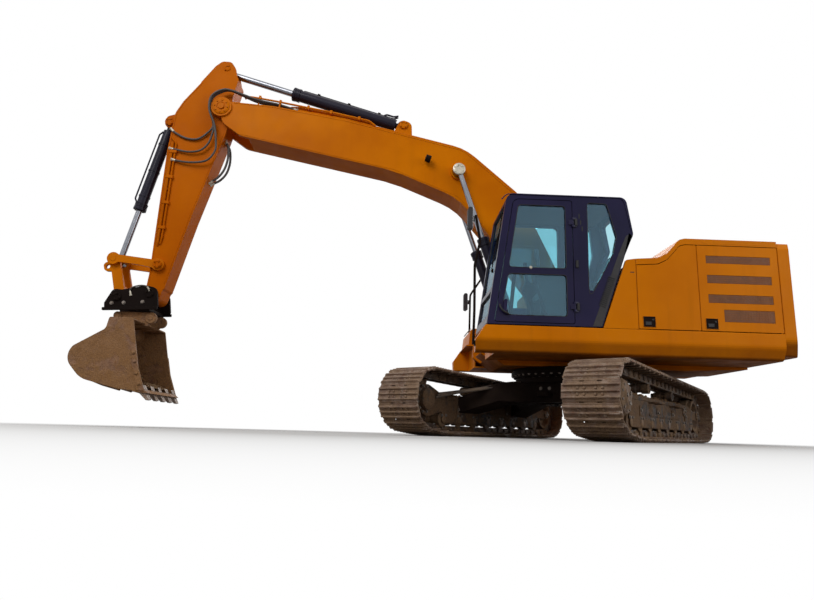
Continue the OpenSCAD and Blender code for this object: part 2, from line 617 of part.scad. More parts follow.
// Side door: outline between two seams, under the deck's skirt
function door_outline(front, rear, top_points) = concat(
    [[-rear + seam_gap / 2, deck_z + seam_gap, 6], [-front - seam_gap / 2, deck_z + seam_gap, 6]],
    top_points);
door_top = skirt + seam_gap;
pump_door_outline = door_outline(seam_front, seam_middle, [
    [-seam_front - seam_gap / 2, step_z - door_top, 0], [-830, step_z + 20 - door_top, 90],
    [-950, step_z + 80 - door_top, 120], [-1110, hood_z - 20 - door_top, 60],
    [-1180, hood_z - door_top, 60], [-seam_middle + seam_gap / 2, hood_z - door_top, 6]]);
rear_door_outline = door_outline(seam_middle, counterweight_front - seam_gap, [
    [-seam_middle - seam_gap / 2, hood_z - door_top, 6],
    [-counterweight_front + seam_gap * 1.5, hood_z - door_top, 6]]);
module side_door(points, pivot) difference() {
    across(body_half - door_thickness, body_half) outline(points);
    across(body_half - door_thickness - 1, body_half - 6) outline(inset(points, 40));
    for (z = [deck_z + seam_gap, hood_z - door_top - pivot_depth]) translate([pivot[0], pivot[1], z - 1])
        cylinder(r = pivot_radius + seat_clear, h = pivot_depth + 2);
}
module latch(x) across(body_half - 12, body_half + 3) outline([
    [x - 80, deck_z + 24, 6], [x + 80, deck_z + 24, 6], [x + 80, deck_z + 164, 6], [x - 80, deck_z + 164, 6]]);
// Louvres of a door: [front x, rear x, low z, high z]
louvres = [
    [-1430, -2230, 2165, 2262], [-1430, -2230, 1915, 2018], [-1430, -2230, 1670, 1775],
    [-1610, -2230, 1440, 1590]];
blade_pitch = 26;
module louvre_hole(row) box([row[1], body_half - 60, row[2]], [row[0], body_half + 5, row[3]]);
module louvre_blades(row) for (z = [row[2] + blade_pitch / 2:blade_pitch:row[3] - 6])
    translate([row[1], body_half - 4, z]) rotate([-35, 0, 0]) box([0, -26, -2], [row[0] - row[1], 0, 2]);
module left_pump_door() color(paint) centred() {
    side_door(pump_door_outline, door_pivots[0]);
    latch(-seam_front - 130);
}
module left_cooler_door() color(paint) centred() {
    difference() {
        union() {
            side_door(rear_door_outline, door_pivots[1]);
            for (row = louvres) box([row[1] - 20, body_half - door_thickness + 4, row[2] - 20],
                [row[0] + 20, body_half - 2, row[3] + 20]);
        }
        for (row = louvres) louvre_hole(row);
    }
    intersection() {
        for (row = louvres) louvre_blades(row);
        for (row = louvres) box([row[1] - 1, body_half - 40, row[2] - 1], [row[0] + 1, body_half, row[3] + 1]);
    }
    latch(-seam_middle - 130);
}
module right_pump_door() color(paint) centred() mirror([0, 1, 0]) {
    side_door(pump_door_outline, door_pivots[0]);
    latch(-seam_front - 130);
}
module right_engine_door() color(paint) centred() mirror([0, 1, 0]) {
    side_door(rear_door_outline, door_pivots[1]);
    latch(-seam_middle - 130);
}
module hood() color(paint) centred() {
    box([hood_low_x + seam_gap, -hood_half + seam_gap, hood_z - deck_sheet],
        [hood_high_x - seam_gap, hood_half - seam_gap, hood_z + hood_rise]);
    // Straps that turn on the deck's hinge pins
    both_sides() across(hood_hinge_y - 22, hood_hinge_y - 4) difference() {
        outline([
            [hood_hinge[0] - 16, hood_hinge[1] - 15, 14], [hood_hinge[0] + 80, hood_z + hood_rise - 2, 0],
            [hood_hinge[0] + 80, hood_hinge[1] + 15, 10], [hood_hinge[0] - 16, hood_hinge[1] + 15, 14]]);
        translate(hood_hinge) circle(pivot_radius + seat_clear);
    }
}

// Fixed panel in the corner between the cab's slanted back and the pump door
cab_rear_foot = [-120, deck_z + 8];
cab_rear_neck = [-430, 2230];
module corner_panel() color(paint) centred() across(body_half - door_thickness, body_half) outline([
    [cab_rear_foot[0] - 12, deck_z + seat_clear, 4], [cab_rear_neck[0] - 12, cab_rear_neck[1] - 60, 20],
    [-seam_front + seam_gap / 2, step_z, 10], [-seam_front + seam_gap / 2, deck_z + seat_clear, 4]]);

// Right side: fuel tank, tool box with its steps
tank_front = 330;
tool_box_z = 1570;
tank_inner = -430;
module fuel_tank() color(paint) centred()
    along(-seam_front + seam_gap / 2, tank_front) outline([
        [-body_half, deck_z + seat_clear, 10], [tank_inner, deck_z + seat_clear, 10],
        [tank_inner, step_z, 40], [-body_half, step_z, 60]]);
module tool_box() color(paint) centred() across(-body_half, tank_inner - 60) outline([
    [tank_front + seam_gap, deck_z + seat_clear, 10], [1240, deck_z + seat_clear, 20],
    [1210, tool_box_z, 60], [900, tool_box_z, 40], [880, 1860, 60], [tank_front + seam_gap, 1890, 20]]);

exhaust_place = [-1820, -1050];
exhaust_radius = 62;
exhaust_lean = 42;
module exhaust() color(black_paint) centred()
    translate([exhaust_place[0], exhaust_place[1], hood_z + seat_clear]) {
        cylinder(r = exhaust_radius + 28, h = 12);
        cylinder(r = exhaust_radius, h = 250);
        translate([0, 0, 250]) rotate([0, -exhaust_lean, 0]) difference() {
            union() {
                sphere(r = exhaust_radius);
                cylinder(r = exhaust_radius, h = 150);
            }
            // Mouth of the pipe
            translate([0, 0, 25]) cylinder(r = exhaust_radius - 6, h = 126);
        }
    }

// Round tube along a path in space; across_axis is a direction that the path never takes
tube_sides = 8;
module tube(path, radius, across_axis) {
    n = len(path);
    rings = [for (i = [0:n - 1])
        let (t = unit(path[min(i + 1, n - 1)] - path[max(i - 1, 0)]), u = unit(cross(t, across_axis)),
             w = cross(t, u))
        for (k = [0:tube_sides - 1])
            path[i] + radius * (cos(k * 360 / tube_sides) * u + sin(k * 360 / tube_sides) * w)];
    sides = [for (i = [0:n - 2], k = [0:tube_sides - 1])
        let (a = i * tube_sides, b = (k + 1) % tube_sides)
        [a + k, a + k + tube_sides, a + b + tube_sides, a + b]];
    polyhedron(rings, concat(sides, [[for (k = [0:tube_sides - 1]) k],
        [for (k = [tube_sides - 1:-1:0]) (n - 1) * tube_sides + k]]), convexity = 4);
}
// Open path in a plane with rounded bends: each point is [x, y, radius]
function bent(points) = [for (i = [0:len(points) - 1])
    each i == 0 || i == len(points) - 1 || points[i][2] == 0 ? [flat(points[i])]
        : corner(flat(points[i - 1]), flat(points[i]), flat(points[i + 1]), points[i][2])];
module side_tube(points, y, radius) tube([for (p = bent(points)) [p[0], y, p[1]]], radius, [0, 1, 0]);

rail_radius = 16;
rail_left_y = 1290;
rail_right_y = -1270;
module rail_foot(x, y, z) translate([x, y, z + seat_clear]) cylinder(r = rail_radius + 18, h = 14);
module handrails() color(black_paint) centred() {
    // Beside the cab's front corner, on a bracket at the end of the sill
    side_tube([[sill_front + 24, 1080, 0], [sill_front + 12, 1500, 300], [1400, 2060, 200],
        [1335, 2370, 100], [1390, mirror_left_z, 0]], rail_left_y, rail_radius);
    box([sill_front + seat_clear, rail_left_y - 30, 1066], [sill_front + 14, rail_left_y + 30, 1126]);
    // Over the tool box and the fuel tank
    side_tube([[rail_right_x, tool_box_z + 8, 0], [rail_right_x - 10, 2250, 120], [860, 2650, 120],
        [230, 2650, 120], [210, step_z + 8, 0]], rail_right_y, rail_radius);
    rail_foot(rail_right_x, rail_right_y, tool_box_z);
    rail_foot(210, rail_right_y, step_z);
}
rail_right_x = 1130;
rail_lean = 8.2;
mirror_left_z = 2700;
mirror_size = [60, 100, 290];
mirror_gap = 40;
module mirrors() color(black_paint) centred() {
    mirror_on([1386.7, rail_left_y, mirror_left_z - 50]);
    mirror_on([rail_right_x - rail_lean, rail_right_y, 2130]);
}
// Mirror with the clamp that holds it on its rail
module mirror_on(place) translate(place) {
    translate([rail_radius + seat_clear, -20, -30]) cube([mirror_gap, 40, 60]);
    translate([rail_radius + mirror_gap - 10, 0, 0]) across(-mirror_size[1] / 2, mirror_size[1] / 2)
        outline([[0, -mirror_size[2] / 2, 25], [mirror_size[0], -mirror_size[2] / 2 + 10, 25],
            [mirror_size[0], mirror_size[2] / 2 - 10, 25], [0, mirror_size[2] / 2, 25]]);
}

// Cab: side outline, anticlockwise from the front foot
cab_foot_z = deck_z + 8;
cab_front_foot = [1265, cab_foot_z];
cab_front_top = [1015, cab_top];
cab_outline = [
    [cab_front_foot[0], cab_foot_z, 20], [cab_front_top[0], cab_top, 110], [-470, cab_top, 90],
    [-545, 2500, 70], [cab_rear_neck[0], cab_rear_neck[1], 60],
    [cab_rear_foot[0], cab_foot_z, 20]];
function front_x(z) = cab_front_foot[0]
    + (cab_front_top[0] - cab_front_foot[0]) * (z - cab_foot_z) / (cab_top - cab_foot_z);
door_rear = 205;
door_front_inset = 85;
door_low = cab_foot_z + 24;
door_high = cab_top - 68;
door_opening = [
    [door_rear, door_low, 30], [front_x(door_low) - door_front_inset, door_low, 30],
    [front_x(door_high) - door_front_inset, door_high, 90], [door_rear, door_high, 30]];
rear_window = [
    [30, 1640, 40], [20, 2885, 50], [-225, 2880, 60], [-335, 2460, 60], [-285, 2240, 120]];
// Windows of the front, right, rear and roof: [low, high] along their wall
screen_split = 1760;
screen_y = [cab_inner + 62, cab_outer - 62];
module screen(low, high, inner, outer, side_clear) across(screen_y[0] + side_clear, screen_y[1] - side_clear)
    polygon([[front_x(low) - inner, low], [front_x(low) - outer, low],
        [front_x(high) - outer, high], [front_x(high) - inner, high]]);
right_window = [[150, 1700, 60], [front_x(1700) - 110, 1700, 60], [front_x(2850) - 120, 2850, 80], [150, 2850, 60]];
right_rear_window = [[30, 1800, 60], [30, 2850, 60], [-300, 2850, 60], [-330, 2480, 60], [-250, 2150, 80]];
hatch = [[180, 620], [780, 1130]];
// Hinges of the cab door, on its rear edge
door_hinge = [door_rear + seam_gap / 2, cab_outer + 14];
door_hinge_z = [1560, 2620];
hinge_pin = 8;
hinge_round = 13;
module hinge_strap(z, height, reach) translate([0, 0, z]) linear_extrude(height = height) {
    translate(door_hinge) circle(hinge_round);
    polygon([
        [door_hinge[0], cab_outer - 1], [door_hinge[0] + reach, cab_outer - 1],
        [door_hinge[0] + reach, cab_outer + 8], [door_hinge[0], door_hinge[1] + hinge_round]]);
}
module cab_shell() color(dark_paint) centred() {
    cab_walls();
    for (z = door_hinge_z) {
        for (end = [-60, 35]) hinge_strap(z + end, 25, -50);
        translate([door_hinge[0], door_hinge[1], z - 50]) cylinder(r = hinge_pin, h = 100);
    }
}
module cab_walls() difference() {
    across(cab_inner, cab_outer) outline(cab_outline);
    across(cab_inner + cab_wall, cab_outer - cab_wall) outline(inset(cab_outline, cab_wall));
    across(cab_outer - cab_wall - 1, cab_outer + 1) outline(door_opening);
    across(cab_outer - cab_wall - 1, cab_outer + 1) outline(rear_window);
    across(cab_inner - 1, cab_inner + cab_wall + 1) outline(right_window);
    across(cab_inner - 1, cab_inner + cab_wall + 1) outline(right_rear_window);
    screen(cab_foot_z + 110, screen_split - 30, 150, -60, 0);
    screen(screen_split + 30, cab_top - 120, 150, -60, 0);
    along(-700, -300) outline(rear_glass_outline);
    translate([0, 0, cab_top - 100]) linear_extrude(height = 120) polygon([
        [hatch[0][0], hatch[0][1]], [hatch[1][0], hatch[0][1]], [hatch[1][0], hatch[1][1]], [hatch[0][0], hatch[1][1]]]);
}
rear_glass_outline = [
    [cab_inner + 130, 2320, 40], [cab_outer - 130, 2320, 40], [cab_outer - 130, 2850, 40],
    [cab_inner + 130, 2850, 40]];
module side_glass(points, y) across(y - glass_thickness / 2, y + glass_thickness / 2)
    outline(points);
module cab_glass() color(glass_tint) centred() {
    side_glass(inset(rear_window, seat_clear), cab_outer - 20);
    side_glass(inset(right_window, seat_clear), cab_inner + 20);
    side_glass(inset(right_rear_window, seat_clear), cab_inner + 20);
    screen(cab_foot_z + 110 + seat_clear, screen_split - 30 - seat_clear, 30, 30 - glass_thickness, seat_clear);
    screen(screen_split + 30 + seat_clear, cab_top - 120 - seat_clear, 30, 30 - glass_thickness, seat_clear);
    box([hatch[0][0] + seat_clear, hatch[0][1] + seat_clear, cab_top - 40],
        [hatch[1][0] - seat_clear, hatch[1][1] - seat_clear, cab_top - 40 + glass_thickness]);
}
door_panel = inset(door_opening, seam_gap);
door_window_low = [
    [door_rear + 90, 1440, 30], [front_x(1440) - 250, 1440, 30], [front_x(1640) - 150, 1600, 60],
    [front_x(1900) - 170, 1950, 60], [door_rear + 90, 1950, 30]];
door_window_high = [
    [door_rear + 90, 2030, 30], [front_x(2030) - 160, 2030, 30], [front_x(2830) - 160, 2830, 60],
    [door_rear + 90, 2830, 40]];
module cab_door() color(dark_paint) centred() {
    difference() {
        across(cab_outer - cab_wall, cab_outer) outline(door_panel);
        for (w = [door_window_low, door_window_high])
            across(cab_outer - cab_wall - 1, cab_outer + 1) outline(w);
    }
    for (z = door_hinge_z) difference() {
        hinge_strap(z - 32, 64, 50);
        translate([door_hinge[0], door_hinge[1], z - 40])
            cylinder(r = hinge_pin + seat_clear, h = 80);
    }
    // Handle
    translate([front_x(1600) - 170, cab_outer, 1530]) across(0, 40) outline([[-20, -70, 15], [20, -70, 15], [10, 90, 15], [-30, 90, 15]]);
}
module cab_door_glass() color(glass_tint) centred()
    for (w = [door_window_low, door_window_high]) side_glass(inset(w, seat_clear), cab_outer - 20);

// Inside of the cab
floor_z = cab_foot_z + cab_wall;
module cab_floor() color(black_paint) centred()
    box([-60, cab_inner + cab_wall + 1, floor_z + seat_clear], [1150, cab_outer - cab_wall - 1, floor_z + 60]);
seat_x = 330;
seat_y = (cab_inner + cab_outer) / 2;
seat_floor = floor_z + 60 + seat_clear;
module seat_base() color(black_paint) centred() {
    box([seat_x - 220, seat_y - 190, seat_floor], [seat_x + 220, seat_y + 190, seat_floor + 270]);
}
module seat_pads() color(black_paint) centred() {
    box([seat_x - 240, seat_y - 250, seat_floor + 270 + seat_clear], [seat_x + 260, seat_y + 250, seat_floor + 400]);
    across(seat_y - 240, seat_y + 240) outline([
        [seat_x - 250, seat_floor + 400 + seat_clear, 40], [seat_x - 130, seat_floor + 400 + seat_clear, 40],
        [seat_x - 230, seat_floor + 1050, 50], [seat_x - 340, seat_floor + 1050, 50]]);
}
module consoles() color(black_paint) centred() for (s = [-1, 1]) translate([0, seat_y + s * 330, 0]) {
    across(-60, 60) outline([
        [seat_x - 200, seat_floor, 0], [seat_x + 180, seat_floor, 0], [seat_x + 330, seat_floor + 480, 40],
        [seat_x + 330, seat_floor + 560, 40], [seat_x - 200, seat_floor + 560, 60]]);
    translate([seat_x + 260, 0, seat_floor + 550]) rotate([0, 8, 0]) cylinder(r = 22, h = 200);
}
module travel_levers() color(black_paint) centred() for (s = [-1, 1]) {
    translate([900, seat_y + s * 70, seat_floor + 3]) rotate([0, -6, 0]) cylinder(r = 12, h = 620);
    box([860, seat_y + s * 70 - 45, seat_floor], [1000, seat_y + s * 70 + 45, seat_floor + 40]);
}

// Boom: side outline in its own frame, with [0, 0] at the foot pin and the tip pin on its x axis
boom_outline = [
    [-150, -100, 110], [40, -170, 120], [1500, 440, 500], [2050, 640, 900], [3050, 500, 1500],
    [5200, -225, 250], [5560, -190, 160], [5690, 40, 120], [5620, 140, 60], [5050, 420, 300],
    [4060, 800, 1200], [2350, 1330, 700], [1300, 1130, 500], [-160, 120, 110]];
module boom_frame() translate([boom_foot[0], 0, boom_foot[1]]) rotate([0, -boom_angle, 0]) children();
boom_fork_half = stick_half + 12;
boom_tip_local = [boom_length, 0];
module boom() color(paint) centred() boom_frame() difference() {
    union() {
        across(-boom_half, boom_half) outline(boom_outline);
        round_bar([0, 0], 165, -boom_half, boom_half);
        // Bosses and pins of the boom cylinders
        both_sides() round_bar(eye_local, 110, boom_half - 5, boom_cylinder_y - clevis_half);
        // Ears of the stick cylinder
        both_sides() across(clevis_half, clevis_half + 45) outline([
            [3050, 1040, 20], [3390, 930, 20], [stick_foot_local[0] + 80, stick_foot_local[1] + 60, 85],
            [stick_foot_local[0] - 85, stick_foot_local[1] + 90, 90]]);
        round_bar(stick_foot_local, pin_radius, -clevis_half - 60, clevis_half + 60);
        // Cheeks of the tip
        both_sides() round_bar(boom_tip_local, 150, boom_fork_half, boom_half + 25);
        round_bar(boom_tip_local, pin_radius, -boom_half - 50, boom_half + 50);
    }
    round_bar([0, 0], pin_radius + pin_clear, -boom_half - 1, boom_half + 1);
    // Fork that takes the stick and its tail
    difference() {
        across(-boom_fork_half, boom_fork_half) translate(boom_tip_local) {
            circle(620);
            intersection() {
                circle(860);
                polygon([[0, 0], [-200, 900], [-1000, 900], [-1000, 330]]);
            }
        }
        round_bar(boom_tip_local, pin_radius, -boom_half - 50, boom_half + 50);
    }
}
pipe_radius = 16;
pipe_rise = 30;
// Pipes over the boom's top plate, along the boom's own outline from the tip towards the foot
boom_top = [for (i = [len(boom_outline) - 5:len(boom_outline) - 1]) boom_outline[i]];
function between(p, q, share) = flat(p) + (flat(q) - flat(p)) * share;
function raised(p, rise, radius) = [p[0], p[1] + rise, radius];
pipe_line = [
    raised(between(boom_top[0], boom_top[1], 0.3), pipe_rise, 0),
    for (i = [1:3]) raised(boom_top[i], pipe_rise, boom_top[i][2] + pipe_rise),
    raised(between(boom_top[3], boom_top[4], 0.25), pipe_rise, 0)];
module boom_pipes() color(paint) centred() boom_frame() {
    for (y = [-185, -130, 130, 185]) side_tube(pipe_line, y, pipe_radius);
    for (place = [[0, 0.6], [1, 0.5], [1, 0.75], [2, 0.5], [3, 0.15]], side = [-1, 1])
        clamp_bar(flat(boom_top[place[0]]), flat(boom_top[place[0] + 1]), place[1], side * 158);
}
// Bar that holds two pipes on the plate between p and q, drawn upside down from tip to foot
module clamp_bar(p, q, share, y) translate([between(p, q, share)[0], y, between(p, q, share)[1]])
    rotate([0, -atan2(q[1] - p[1], q[0] - p[0]), 0])
    translate([-20, -50, -pipe_rise]) cube([40, 100, pipe_rise - seat_clear]);
lamp_local = [2700, 900];
module boom_lamp() color(black_paint) centred() boom_frame()
    both_sides() translate([lamp_local[0], boom_half + seat_clear, lamp_local[1]]) {
        rotate([-90, 0, 0]) cylinder(r = 20, h = 40);
        translate([-30, 80, 0]) rotate([0, 100, 0]) cylinder(r = 52, h = 70);
    }

// Cylinders, drawn along +X from the foot pin
neck_length = 120;
head_plate = 20;
piston_length = 50;
gland_length = 45;
module barrel_body(radius, length, eye_radius) difference() {
    union() {
        translate([neck_length, 0, 0]) rotate([0, 90, 0]) cylinder(r = radius, h = length - neck_length);
        rotate([0, 90, 0]) cylinder(r = eye_half - 3, h = neck_length + 10);
        translate([length - 110, 0, 0]) rotate([0, 90, 0]) cylinder(r = radius + 9, h = 110);
        round_bar([0, 0], eye_radius, -eye_half, eye_half);
    }
    round_bar([0, 0], pin_radius + pin_clear, -radius - 1, radius + 1);
    translate([neck_length + head_plate, 0, 0]) rotate([0, 90, 0])
        cylinder(r = radius - 14, h = length - neck_length - head_plate - gland_length);
    translate([neck_length + head_plate, 0, 0]) rotate([0, 90, 0]) cylinder(r = rod_radius(radius) + pin_clear, h = length);
}
function rod_radius(radius) = radius * 0.56;
// Rod with its piston and its eye's pin, drawn along -X from the eye
module rod_body(radius, length, eye_radius) {
    rotate([0, -90, 0]) cylinder(r = rod_radius(radius), h = length);
    round_bar([0, 0], eye_radius, -eye_half, eye_half);
    translate([-length, 0, 0]) rotate([0, 90, 0]) cylinder(r = radius - 16, h = piston_length);
}
module boom_barrels() color(paint) centred() both_sides() translate([0, boom_cylinder_y, 0])
    from_to(boom_cylinder_foot, boom_cylinder_eye) barrel_body(boom_cylinder_radius, boom_barrel, 90);
module boom_rods() color(chrome) centred() both_sides() translate([0, boom_cylinder_y, 0])
    translate([boom_cylinder_eye[0], 0, boom_cylinder_eye[1]])
    rotate([0, -angle_of(boom_cylinder_foot, boom_cylinder_eye), 0]) rod_body(boom_cylinder_radius, boom_rod, 90);
function angle_of(p, q) = atan2(q[1] - p[1], q[0] - p[0]);
module stick_barrel() color(dark_paint) centred()
    from_to(stick_cylinder_foot, stick_cylinder_eye)
    barrel_body(stick_cylinder_radius, stick_barrel_length, 100);
module stick_rod() color(chrome) centred()
    translate([stick_cylinder_eye[0], 0, stick_cylinder_eye[1]])
    rotate([0, -angle_of(stick_cylinder_foot, stick_cylinder_eye), 0])
    rod_body(stick_cylinder_radius, stick_rod_length, 90);
module bucket_barrel() color(dark_paint) centred()
    from_to(bucket_cylinder_foot, link_top)
    barrel_body(bucket_cylinder_radius, bucket_barrel_length, 75);
module bucket_rod() color(chrome) centred()
    translate([link_top[0], 0, link_top[1]])
    rotate([0, -angle_of(bucket_cylinder_foot, link_top), 0])
    rod_body(bucket_cylinder_radius, bucket_rod_length, 88);

// Stick: side outline in its own frame, with [0, 0] at the boom's tip pin, x towards the nose,
// and z away from the machine
stick_outline = [
    [-600, -60, 60], [-200, -75, 200], [0, -160, 150], [350, -165, 200], [1700, -125, 600],
    [2780, -125, 60], [2850, -60, 60], [2870, 90, 60], [2380, 200, 200], [850, 545, 400],
    [250, 640, 200], [40, 590, 120], [-330, 440, 60], [-540, 60, 60]];
module stick_frame() translate([boom_tip[0], 0, boom_tip[1]]) rotate([0, stick_angle, 0]) children();
nose_local = [stick_length, 0];
module stick() color(paint) centred() stick_frame() difference() {
    union() {
        across(-stick_half, stick_half) outline(stick_outline);
        round_bar([0, 0], 165, -stick_half, stick_half);
        // Tail ears for the stick cylinder
        both_sides() across(stick_half - 50, stick_half) outline([
            [-500, -60, 60], [-690, 40, 60], [-770, 130, 80], [-740, 260, 80], [-640, 330, 40],
            [-300, 460, 40], [-200, 200, 0]]);
        both_sides() round_bar(tail_local, 85, clevis_half, stick_half);
        // Ears of the bucket cylinder
        both_sides() across(clevis_half, clevis_half + 40) outline([
            [170, 560, 20], [480, 560, 20], [foot_local[0] + 75, foot_local[1] + 60, 75],
            [foot_local[0] - 75, foot_local[1] + 70, 75]]);
        round_bar(foot_local, pin_radius, -clevis_half - 55, clevis_half + 55);
        // Nose
        round_bar(nose_local, 105, -stick_half, stick_half);
        across(-stick_half, stick_half) polygon([[2600, -120], [2900, -105], [2900, 105], [2600, 150]]);
        round_bar(link_local, 42, -stick_half - link_plate - 30, stick_half + link_plate + 30);
    }
    round_bar([0, 0], pin_radius + pin_clear, -stick_half - 1, stick_half + 1);
    round_bar(nose_local, pin_radius + pin_clear, -stick_half - 1, stick_half + 1);
}
link_plate = 45;
module stick_pipes() color(paint) centred() stick_frame() {
    side_tube([[700, 500, 0], [2100, 200, 0]], stick_half + pipe_radius + 6, pipe_radius);
    for (share = [0.1, 0.5, 0.9]) translate([700 + 1400 * share, stick_half + seat_clear, 500 - 300 * share])
        rotate([-90, 0, 0]) cylinder(r = 22, h = pipe_radius + 6);
}

// Bucket linkage
link_bore = 42 + pin_clear;
link_low = stick_half + eye_gap;
link_span = norm(link_top - link_pin);
module side_links() color(paint) centred() {
    from_to(link_pin, link_top) both_sides() difference() {
        across(link_low, link_low + link_plate) union() {
            circle(85);
            translate([link_span, 0]) circle(85);
            polygon([[0, -60], [link_span * 0.4, -42], [link_span * 0.85, -42], [link_span, -60],
                [link_span, 60], [0, 60]]);
        }
        round_bar([0, 0], link_bore, 0, 500);
    }
    // Stubs of the top pin, which end beside the power link's eyes
    both_sides() round_bar(link_top, 40, power_outer - 40, link_low + link_plate + 4);
}
power_outer = stick_half - 5;
power_plate = 50;
power_span = norm(coupler_pin - link_top);
// Lifting eyes on the side plates, from the top pin
lifting_eye = [85, 105];
module power_link() color(paint) centred() from_to(link_top, coupler_pin) {
    both_sides() difference() {
        across(power_outer - power_plate, power_outer) union() {
            circle(80);
            translate([power_span, 0]) circle(78);
            polygon([[0, -65], [power_span, -70], [power_span, 70], [0, 65]]);
            outline([[0, 20, 0], [170, 20, 0], [lifting_eye[0] + 55, lifting_eye[1] + 55, 50],
                [lifting_eye[0] - 55, lifting_eye[1] + 55, 50]]);
        }
        round_bar([0, 0], 40 + pin_clear, 0, 500);
        round_bar(lifting_eye, lifting_bore, 0, 500);
    }
    // Cross tube and lower eye
    round_bar([power_span - 150, 0], 55, -power_outer + power_plate - 1, power_outer - power_plate + 1);
    difference() {
        round_bar([power_span, 0], 78, -power_outer + power_plate - 1, power_outer - power_plate + 1);
        round_bar([power_span, 0], pin_radius, -power_outer, power_outer);
    }
}
lifting_bore = 30;

// Quick coupler, with [0, 0] at the stick's nose pin
module at_nose() translate([stick_nose[0], 0, stick_nose[1]]) children();
coupler_local = coupler_pin - stick_nose;
coupler_plate = 42;
coupler_drop = 250;
module coupler() color(black_paint) centred() at_nose() {
    both_sides() across(coupler_half - coupler_plate, coupler_half) outline([
        [-130, -190, 30], [580, -230, 30], [590, -150, 30], [coupler_local[0] + 60, 50, 70],
        [coupler_local[0] - 60, 40, 40], [60, 110, 90], [-90, 80, 80]]);
    // Pins of the nose and the power link
    round_bar([0, 0], pin_radius, -coupler_half + 5, coupler_half - 5);
    both_sides() round_bar(coupler_local, pin_radius, power_outer + eye_gap, coupler_half + 12);
    // Cross members and the hooks over the bucket's pins
    round_bar([150, -140], 40, -coupler_half + 5, coupler_half - 5);
    across(-coupler_half + 5, coupler_half - 5) outline([
        [-30, -coupler_drop, 20], [130, -coupler_drop, 20], [130, -coupler_drop + 50, 10],
        [-20, -coupler_drop + 60, 20]]);
    both_sides() across(coupler_half - 5, coupler_half + 25) outline([
        [-130, -220, 10], [600, -255, 10], [600, -215, 10], [-130, -180, 10]]);
}

// Bucket in the nose's frame: it hangs with its mouth towards the machine
bucket_half = bucket_width / 2;
bucket_profile = [
    [-70, -330, 40], [-20, -700, 0], [-80, -1050, 0], [-200, -1330, 0], [120, -1310, 250],
    [620, -1120, 300], [760, -800, 300], [600, -480, 250], [430, -330, 80]];
module bucket() color(earth_steel) centred() at_nose() {
    difference() {
        across(-bucket_half, bucket_half) outline(bucket_profile);
        across(-bucket_half + bucket_shell, bucket_half - bucket_shell) outline([
            [-300, -360, 0], [-300, -1305, 0], [110, -1285, 240], [595, -1100, 280], [730, -800, 280],
            [575, -495, 230], [415, -352, 60]]);
    }
    // Ears for the coupler
    both_sides() across(coupler_half - 110, coupler_half - 60) outline([
        [-70, -345, 20], [430, -345, 20], [400, -300, 20], [300, -coupler_drop - seat_clear, 20],
        [-50, -coupler_drop - seat_clear, 20]]);
}
module bucket_teeth() color(earth_steel) centred() at_nose() difference() {
    for (i = [0:tooth_count - 1])
        translate([0, -bucket_half + 70 + i * (bucket_width - 140) / (tooth_count - 1), 0])
        across(-55, 55) polygon([[-170, -1250], [-120, -1337], [-230, -1440], [-262, -1432]]);
    across(-bucket_half - 1, bucket_half + 1) outline(inset(bucket_profile, -seat_clear));
}

carbody();
track_frames();
track_left();
track_right();
sprockets();
final_drives();
idlers();
lower_rollers();
carrier_rollers();
slew_ring();
platform();
counterweight();
bulkheads();
engine_deck();
engine_block();
corner_panel();
fuel_tank();
tool_box();
exhaust();
handrails();
mirrors();
cab_shell();
cab_glass();
cab_floor();
seat_base();
seat_pads();
consoles();
travel_levers();
cab_door();
cab_door_glass();
left_pump_door();
left_cooler_door();
right_pump_door();
right_engine_door();
hood();
boom();
boom_pipes();
boom_lamp();
boom_barrels();
boom_rods();
stick();
stick_pipes();
stick_barrel();
stick_rod();
bucket_barrel();
bucket_rod();
side_links();
power_link();
coupler();
bucket();
bucket_teeth();
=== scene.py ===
# %% [markdown]
# # A crawler excavator
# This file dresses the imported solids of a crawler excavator. The solids give every place and size, and
# this file gives the looks: paint and dust, steel and soil, glass, and the parts that are too small for
# the solids, such as bolts, hoses, seals, louvre mesh and the padding of the seat. Each step says what
# the thing is on a real machine, how it could be made, and why it is made this way here.

